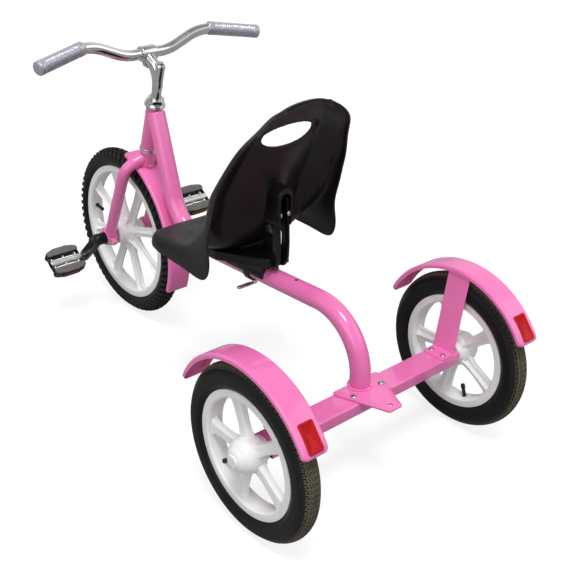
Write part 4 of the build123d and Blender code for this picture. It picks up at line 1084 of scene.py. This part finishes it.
# two faces a wall apart, joined by half-round rims; the back bulges by a Gaussian where its boss is
def buildSeatShell():
    s = seat
    lines = splineThrough(seatRows, s["rows"])
    halves = seatHalf(lines, 0), seatHalf(lines, s["wall"])
    rear, front = [np.concatenate([half[:, :0:-1] * (1, -1, 1), half], 1) for half in halves]
    rear, front = dentedFace(rear, s["roll"]), dentedFace(front, -s["roll"])
    swell = (rear[..., 1] / s["swellHalf"]) ** 2 + ((rear[..., 2] - s["swellMiddle"]) / s["swellHigh"]) ** 2
    rear[..., 0] -= s["swell"] * np.exp(-swell) * (rear[..., 0] < 20)
    turns, rims = np.radians([36, 72]), []
    for k, inward in ((0, 1), (-1, -2)):
        mid = (rear[:, k] + front[:, k]) / 2
        out = unit(mid - rear[:, inward]) * s["rim"]
        rim = [front[:, k] + (mid - front[:, k]) * (1 - cos(a)) + out * sin(a) for a in turns]
        rims.append(rim + [rear[:, k] + (mid - rear[:, k]) * (1 - cos(a)) + out * sin(a) for a in turns[::-1]])
    low, high = [np.stack(rim, 1) for rim in rims]
    half = len(turns)
    ring = np.concatenate([low[:, :half][:, ::-1], front, high, rear[:, ::-1], low[:, half:][:, ::-1]], 1)
    piece = addPiece("seatShellBlack", [movedPart(closedGrid(ring, stripEnds=True), seatPlace)], blackPlastic, "seat",
                     ["seat_shell"], 50)
    oval = circle(1, 120) * (s["holeHalf"], s["holeHigh"])
    rows = s["hole"] + oval[:, :1] * vec(0, 1, 0) + oval[:, 1:] * holeRise
    reach = holeAxis * s["holeReach"]
    cutAway(piece, [movedPart(closedGrid(np.stack([rows - reach, rows + reach])), seatPlace)])


hump = dict(middle=157.0, height=88.0, width=41.0, rear=-92.0, draw=5.5, root=(-22.0, 114.0), columns=22,
            lean=tan(radians(19)), floor=-60.0, slotHalf=12.0, slotLow=60, slotTop=187.0)


# moulded boss behind the back: slot outlines that start on the back's own slope and draw in by a quarter ellipse
def buildHump():
    h = hump
    reach = (h["height"] - h["width"]) / 2
    outline, way = hullOutline([(0, reach, h["width"] / 2), (0, -reach, h["width"] / 2)], 120)
    first = h["root"][0] - (h["middle"] + outline[:, 1] - h["root"][1]) * h["lean"]
    turn = np.linspace(0, pi / 2, h["columns"])[:, None]
    x = first + (h["rear"] - first) * np.sin(turn)
    inset = h["draw"] * (1 - np.cos(turn)) ** 0.9
    rows = np.stack([x, outline[:, 0] - way[:, 0] * inset, h["middle"] + outline[:, 1] - way[:, 1] * inset], -1)
    piece = addPiece("seatHumpBlack", [movedPart(closedGrid(rows), seatPlace)], blackPlastic, "seat",
                     sharp=50)
    slot = [(0, z, h["slotHalf"]) for z in (h["slotLow"], h["slotTop"] - h["slotHalf"])]
    cutAway(piece, [stacked(slot, [(0, 0), (0, 60)], seatPlace + (h["floor"], 0, 0), (0, -1, 0), upward, 64)])


# corners are (along, across, radius) of the tray, and tray its (inset, height) pairs up to the top's soft edge
bracket = dict(corners=[(62, 64, 6), (31.1, 64, 6), (-73, 22.9, 4), (62, -64, 6), (31.1, -64, 6), (-73, -22.9, 4)],
               tray=[(5.0, 47), (3.0, 45), (3.0, 30), (0.6, 30), (0, 30.6)], top=50.0,
               blockLevels=[(0, 48), (0, 61), (3, 61), (8, 61), (14, 61), (20, 61), (27, 61)],
               block=(33.0, 27.0, 24.0), gap=1.6, bend=14, boltAt=(-87.5, 10.5, 145),
               rear=[(-52, 31), (-80, 33), (-89, 56), (-90, 86), (-88, 132), (-84, 176)],
               front=[(-52, 40), (-62, 42), (-71, 62), (-71, 100), (-62, 124), (-60, 176)],
               railAcross=[8, 8, 8.35, 9.2, 11.8, 12.65, 13, 13], railEase=[0, 1.2, 0.35, 0, 0, 0.35, 1.2, 0])


# a bevelled tray, a block cut off under the seat's own middle line, and two rails between a rear and a front line
def buildBracket():
    b = bracket
    tray = np.array(b["tray"] + plateLevels(0, b["top"], 2.2)[4:].tolist())
    plate = stacked(b["corners"], tray, seatPlace, runAhead, runAside, 144)
    middle, half, wide = b["block"]
    block = [(middle + sx * half, sy * wide, 6) for sx in (1, -1) for sy in (1, -1)]
    verts, quads, tris = stacked(block, b["blockLevels"], seatPlace, runAhead, runAside, 144)
    line = splineThrough(seatRows, 200)[:120, 0]
    under = np.interp(verts[:, 0] - seatPlace[0], line[::-1, 0], line[::-1, 2]) + seatPlace[2] + b["gap"]
    verts[:, 2] = np.minimum(verts[:, 2], under)
    rear, front = [evenSteps(roundedPath(b[key], b["bend"], 2), 64)[:, None] for key in ("rear", "front")]
    ease, ends = np.array(b["railEase"])[:, None], np.arange(8)[:, None] % 7 == 0
    flat = np.where(ends, front, rear + unit(front - rear) * ease)
    rails = []
    for side in (1, -1):
        y = np.broadcast_to(np.array(b["railAcross"]) * side, flat.shape[:2])
        rails.append(movedPart(closedGrid(np.stack([flat[..., 0], y, flat[..., 1]], -1)), seatPlace))
    addPiece("seatBracketBlack", [plate, (verts, quads, tris), *rails], blackSteel, "seat", ["seat_bracket"],
             35)
    x, y, z = b["boltAt"]
    bolts = [boltHead(seatPlace + (x, side * y, z), (-1, 0, 0.05), 5.0, 3.4) for side in (1, -1)]
    addPiece("seatBolts", bolts, zinc, "seat")


# section corners are (across, up), stations are (along, share of the wall), and profiles are (distance, radius)
slider = dict(outer=[(23.0, 0.3), (22.8, 6), (20, 12), (20, 46.6), (-20, 46.6), (-20, 12), (-22.8, 6), (-23.0, 0.3)],
              inner=19.15, foot=0.3, columns=72, under=23.0,
              stations=[(-52, 0.72), (-51.6, 0.92), (-50.8, 1), (58.8, 1), (59.6, 0.92), (60.0, 0.72)],
              band=[(-8, 19.15), (-8, 23.0), (8, 23.0), (8, 19.15)],
              bolt=[(-0.5, 0.4), (-0.5, 4), (4.5, 4), (4.5, 0.4)],
              handle=[(0, 0, 5.5), (10, 0, 4.4), (26, 0, 3.2), (38, 0, 5.0)])


# saddle over the tube: an arch section carried along the run, with its ends eased; a lever on a bolt below it
def buildSlider():
    s = slider
    outer = evenSteps(roundedPath(s["outer"], 2.4, 1), s["columns"])
    turn = np.linspace(pi, 0, s["columns"])
    inner = s["inner"] * np.stack([np.cos(turn), np.sin(turn)], 1) + (0, s["foot"])
    ring = np.concatenate([outer, inner])
    mid = (ring + ring[::-1]) / 2
    along, share = np.array(s["stations"]).T[:, :, None, None]
    section = mid + (ring - mid) * share
    rows = seatPlace + along * runAhead + section[..., :1] * vec(0, 1, 0) + section[..., 1:] * runAbove
    shapes = [closedGrid(rows, stripEnds=True), turned(seatPlace, runAhead, softened(s["band"], 0.9, 0.4), 96)]
    addPiece("seatSliderBlack", shapes, blackSteel, "seat", ["seat_slider"], 35)
    under = seatPlace - runAbove * s["under"]
    handle = stacked(s["handle"], plateLevels(-2, 2, 1.2), under - runAbove * 6.0, leftward, runAhead, 96)
    lever = [turned(under, -runAbove, softened(s["bolt"], 0.4, 0.2), 32), handle,
             boltHead(under - runAbove * 7.9, -runAbove, 3.6, 0.1)]
    addPiece("seatLeverSilver", lever, chrome, "seat", ["seat_lever"])


buildSeatShell()
buildHump()
buildBracket()
buildSlider()
print("seat done")

studio = dict(floorHalf=12.0, floorColour="#8C8C8C", floorGlow=0.8, floorSheen=0.15, worldFill=0.42,
              horizon=0.3, ceiling=0.35, rise=(0.0, 0.45), fall=(0.6, 0.9))


# grey floor: plain diffuse that takes the shadow, with a glow that only the camera and reflections see
def paintedStudioFloor():
    s = studio
    material, tree, shader, place = newMaterial("paintedStudioFloor", {"Roughness": 0.9, "Specular IOR Level": 0.0})
    drift = addNode(tree, "ShaderNodeTexNoise", {"Scale": 1.5}, {"Vector": place}).outputs[0]
    dress(tree, shader, (drift, s["floorColour"], s["floorColour"]), (drift, 0.85, 0.95), (drift, 0.0))
    light = addNode(tree, "ShaderNodeLightPath").outputs
    seen = addNode(tree, "ShaderNodeMath", links={0: light["Is Glossy Ray"], 1: light["Is Transmission Ray"]},
                   operation="MAXIMUM")
    plain = addNode(tree, "ShaderNodeMath", {1: s["floorGlow"]}, {0: light["Is Camera Ray"]}, operation="MULTIPLY")
    glow = addNode(tree, "ShaderNodeMath", {1: s["floorSheen"]}, {0: seen.outputs[0], 2: plain.outputs[0]},
                   operation="MULTIPLY_ADD")
    tree.links.new(glow.outputs[0], shader.inputs["Emission Strength"])
    shader.inputs["Emission Color"].default_value = (1, 1, 1, 1)
    return material


# a floor, and a white world dimmer at its horizon and zenith; its light on the scene is a level of its own
def buildStage():
    s, half = studio, studio["floorHalf"]
    mesh = bpy.data.meshes.new("studioFloor")
    mesh.from_pydata([(-half, -half, 0), (half, -half, 0), (half, half, 0), (-half, half, 0)], [], [(0, 1, 2, 3)])
    mesh.materials.append(paintedStudioFloor())
    linked("studioFloor", mesh)
    world = bpy.data.worlds.new("studioWorld")
    world.use_nodes = True
    bpy.context.scene.world = world
    tree = world.node_tree
    light = addNode(tree, "ShaderNodeLightPath").outputs
    seen = addNode(tree, "ShaderNodeMath", links={0: light["Is Camera Ray"], 1: light["Is Glossy Ray"]},
                   operation="ADD")
    seen = addNode(tree, "ShaderNodeMath", links={0: seen.outputs[0], 1: light["Is Transmission Ray"]},
                   operation="ADD", use_clamp=True)
    place = addNode(tree, "ShaderNodeTexCoord").outputs["Generated"]
    height = addNode(tree, "ShaderNodeSeparateXYZ", links={0: place}).outputs["Z"]
    rise, fall = [addNode(tree, "ShaderNodeMapRange",
                          {"From Min": low, "From Max": high, "To Min": first, "To Max": last}, {"Value": height})
                  for (low, high), first, last in ((s["rise"], s["horizon"], 1.0), (s["fall"], 1.0, s["ceiling"]))]
    shade = addNode(tree, "ShaderNodeMath", links={0: rise.outputs["Result"], 1: fall.outputs["Result"]},
                    operation="MULTIPLY")
    shade = addNode(tree, "ShaderNodeMath", links={0: shade.outputs[0], 1: light["Is Camera Ray"]},
                    operation="MAXIMUM")
    level = addNode(tree, "ShaderNodeMapRange", {"To Min": s["worldFill"]},
                    {"Value": seen.outputs[0], "To Max": shade.outputs[0]})
    background = tree.nodes["Background"]
    background.inputs["Color"].default_value = (1, 1, 1, 1)
    tree.links.new(level.outputs["Result"], background.inputs["Strength"])


# soft suns: where each shines from, its strength and the width of its disc in degrees
lamps = dict(key=((-0.7, 0.5, 2.6), 1.85, 20), left=((-0.8, 1.8, 0.9), 0.8, 45), right=((-1.2, -1.5, 1.2), 0.35, 40))


# each sun turned so that its back is to the place it shines from
def buildLamps():
    for name, (source, strength, width) in lamps.items():
        lamp = bpy.data.lights.new(name + "Lamp", "SUN")
        lamp.energy, lamp.angle = strength, radians(width)
        holder = linked(name + "Lamp", lamp)
        holder.location = source
        holder.rotation_euler = Vector(source).to_track_quat("Z", "Y").to_euler()


camera = dict(place=(-1.36265, 1.0114, 1.1205), yaw=-0.7151, pitch=0.4951, roll=0.0237, lens=58.175, sensor=36)


# looks along yaw and pitch, then rolls about that line
def buildCamera():
    c = camera
    ahead = vec(cos(c["yaw"]) * cos(c["pitch"]), sin(c["yaw"]) * cos(c["pitch"]), -sin(c["pitch"]))
    right = unit(np.cross(ahead, upward))
    above = np.cross(right, ahead)
    right, above = cos(c["roll"]) * right + sin(c["roll"]) * above, cos(c["roll"]) * above - sin(c["roll"]) * right
    view = bpy.data.cameras.new("studioCamera")
    view.lens, view.sensor_width = c["lens"], c["sensor"]
    rows = np.eye(4)
    rows[:3, 0], rows[:3, 1], rows[:3, 2], rows[:3, 3] = right, above, -ahead, c["place"]
    holder = linked("studioCamera", view)
    holder.matrix_world = Matrix(rows.tolist())
    bpy.context.scene.camera = holder


buildStage()
buildLamps()
buildCamera()
bpy.context.scene.view_settings.view_transform = "Standard"
print("stage done")
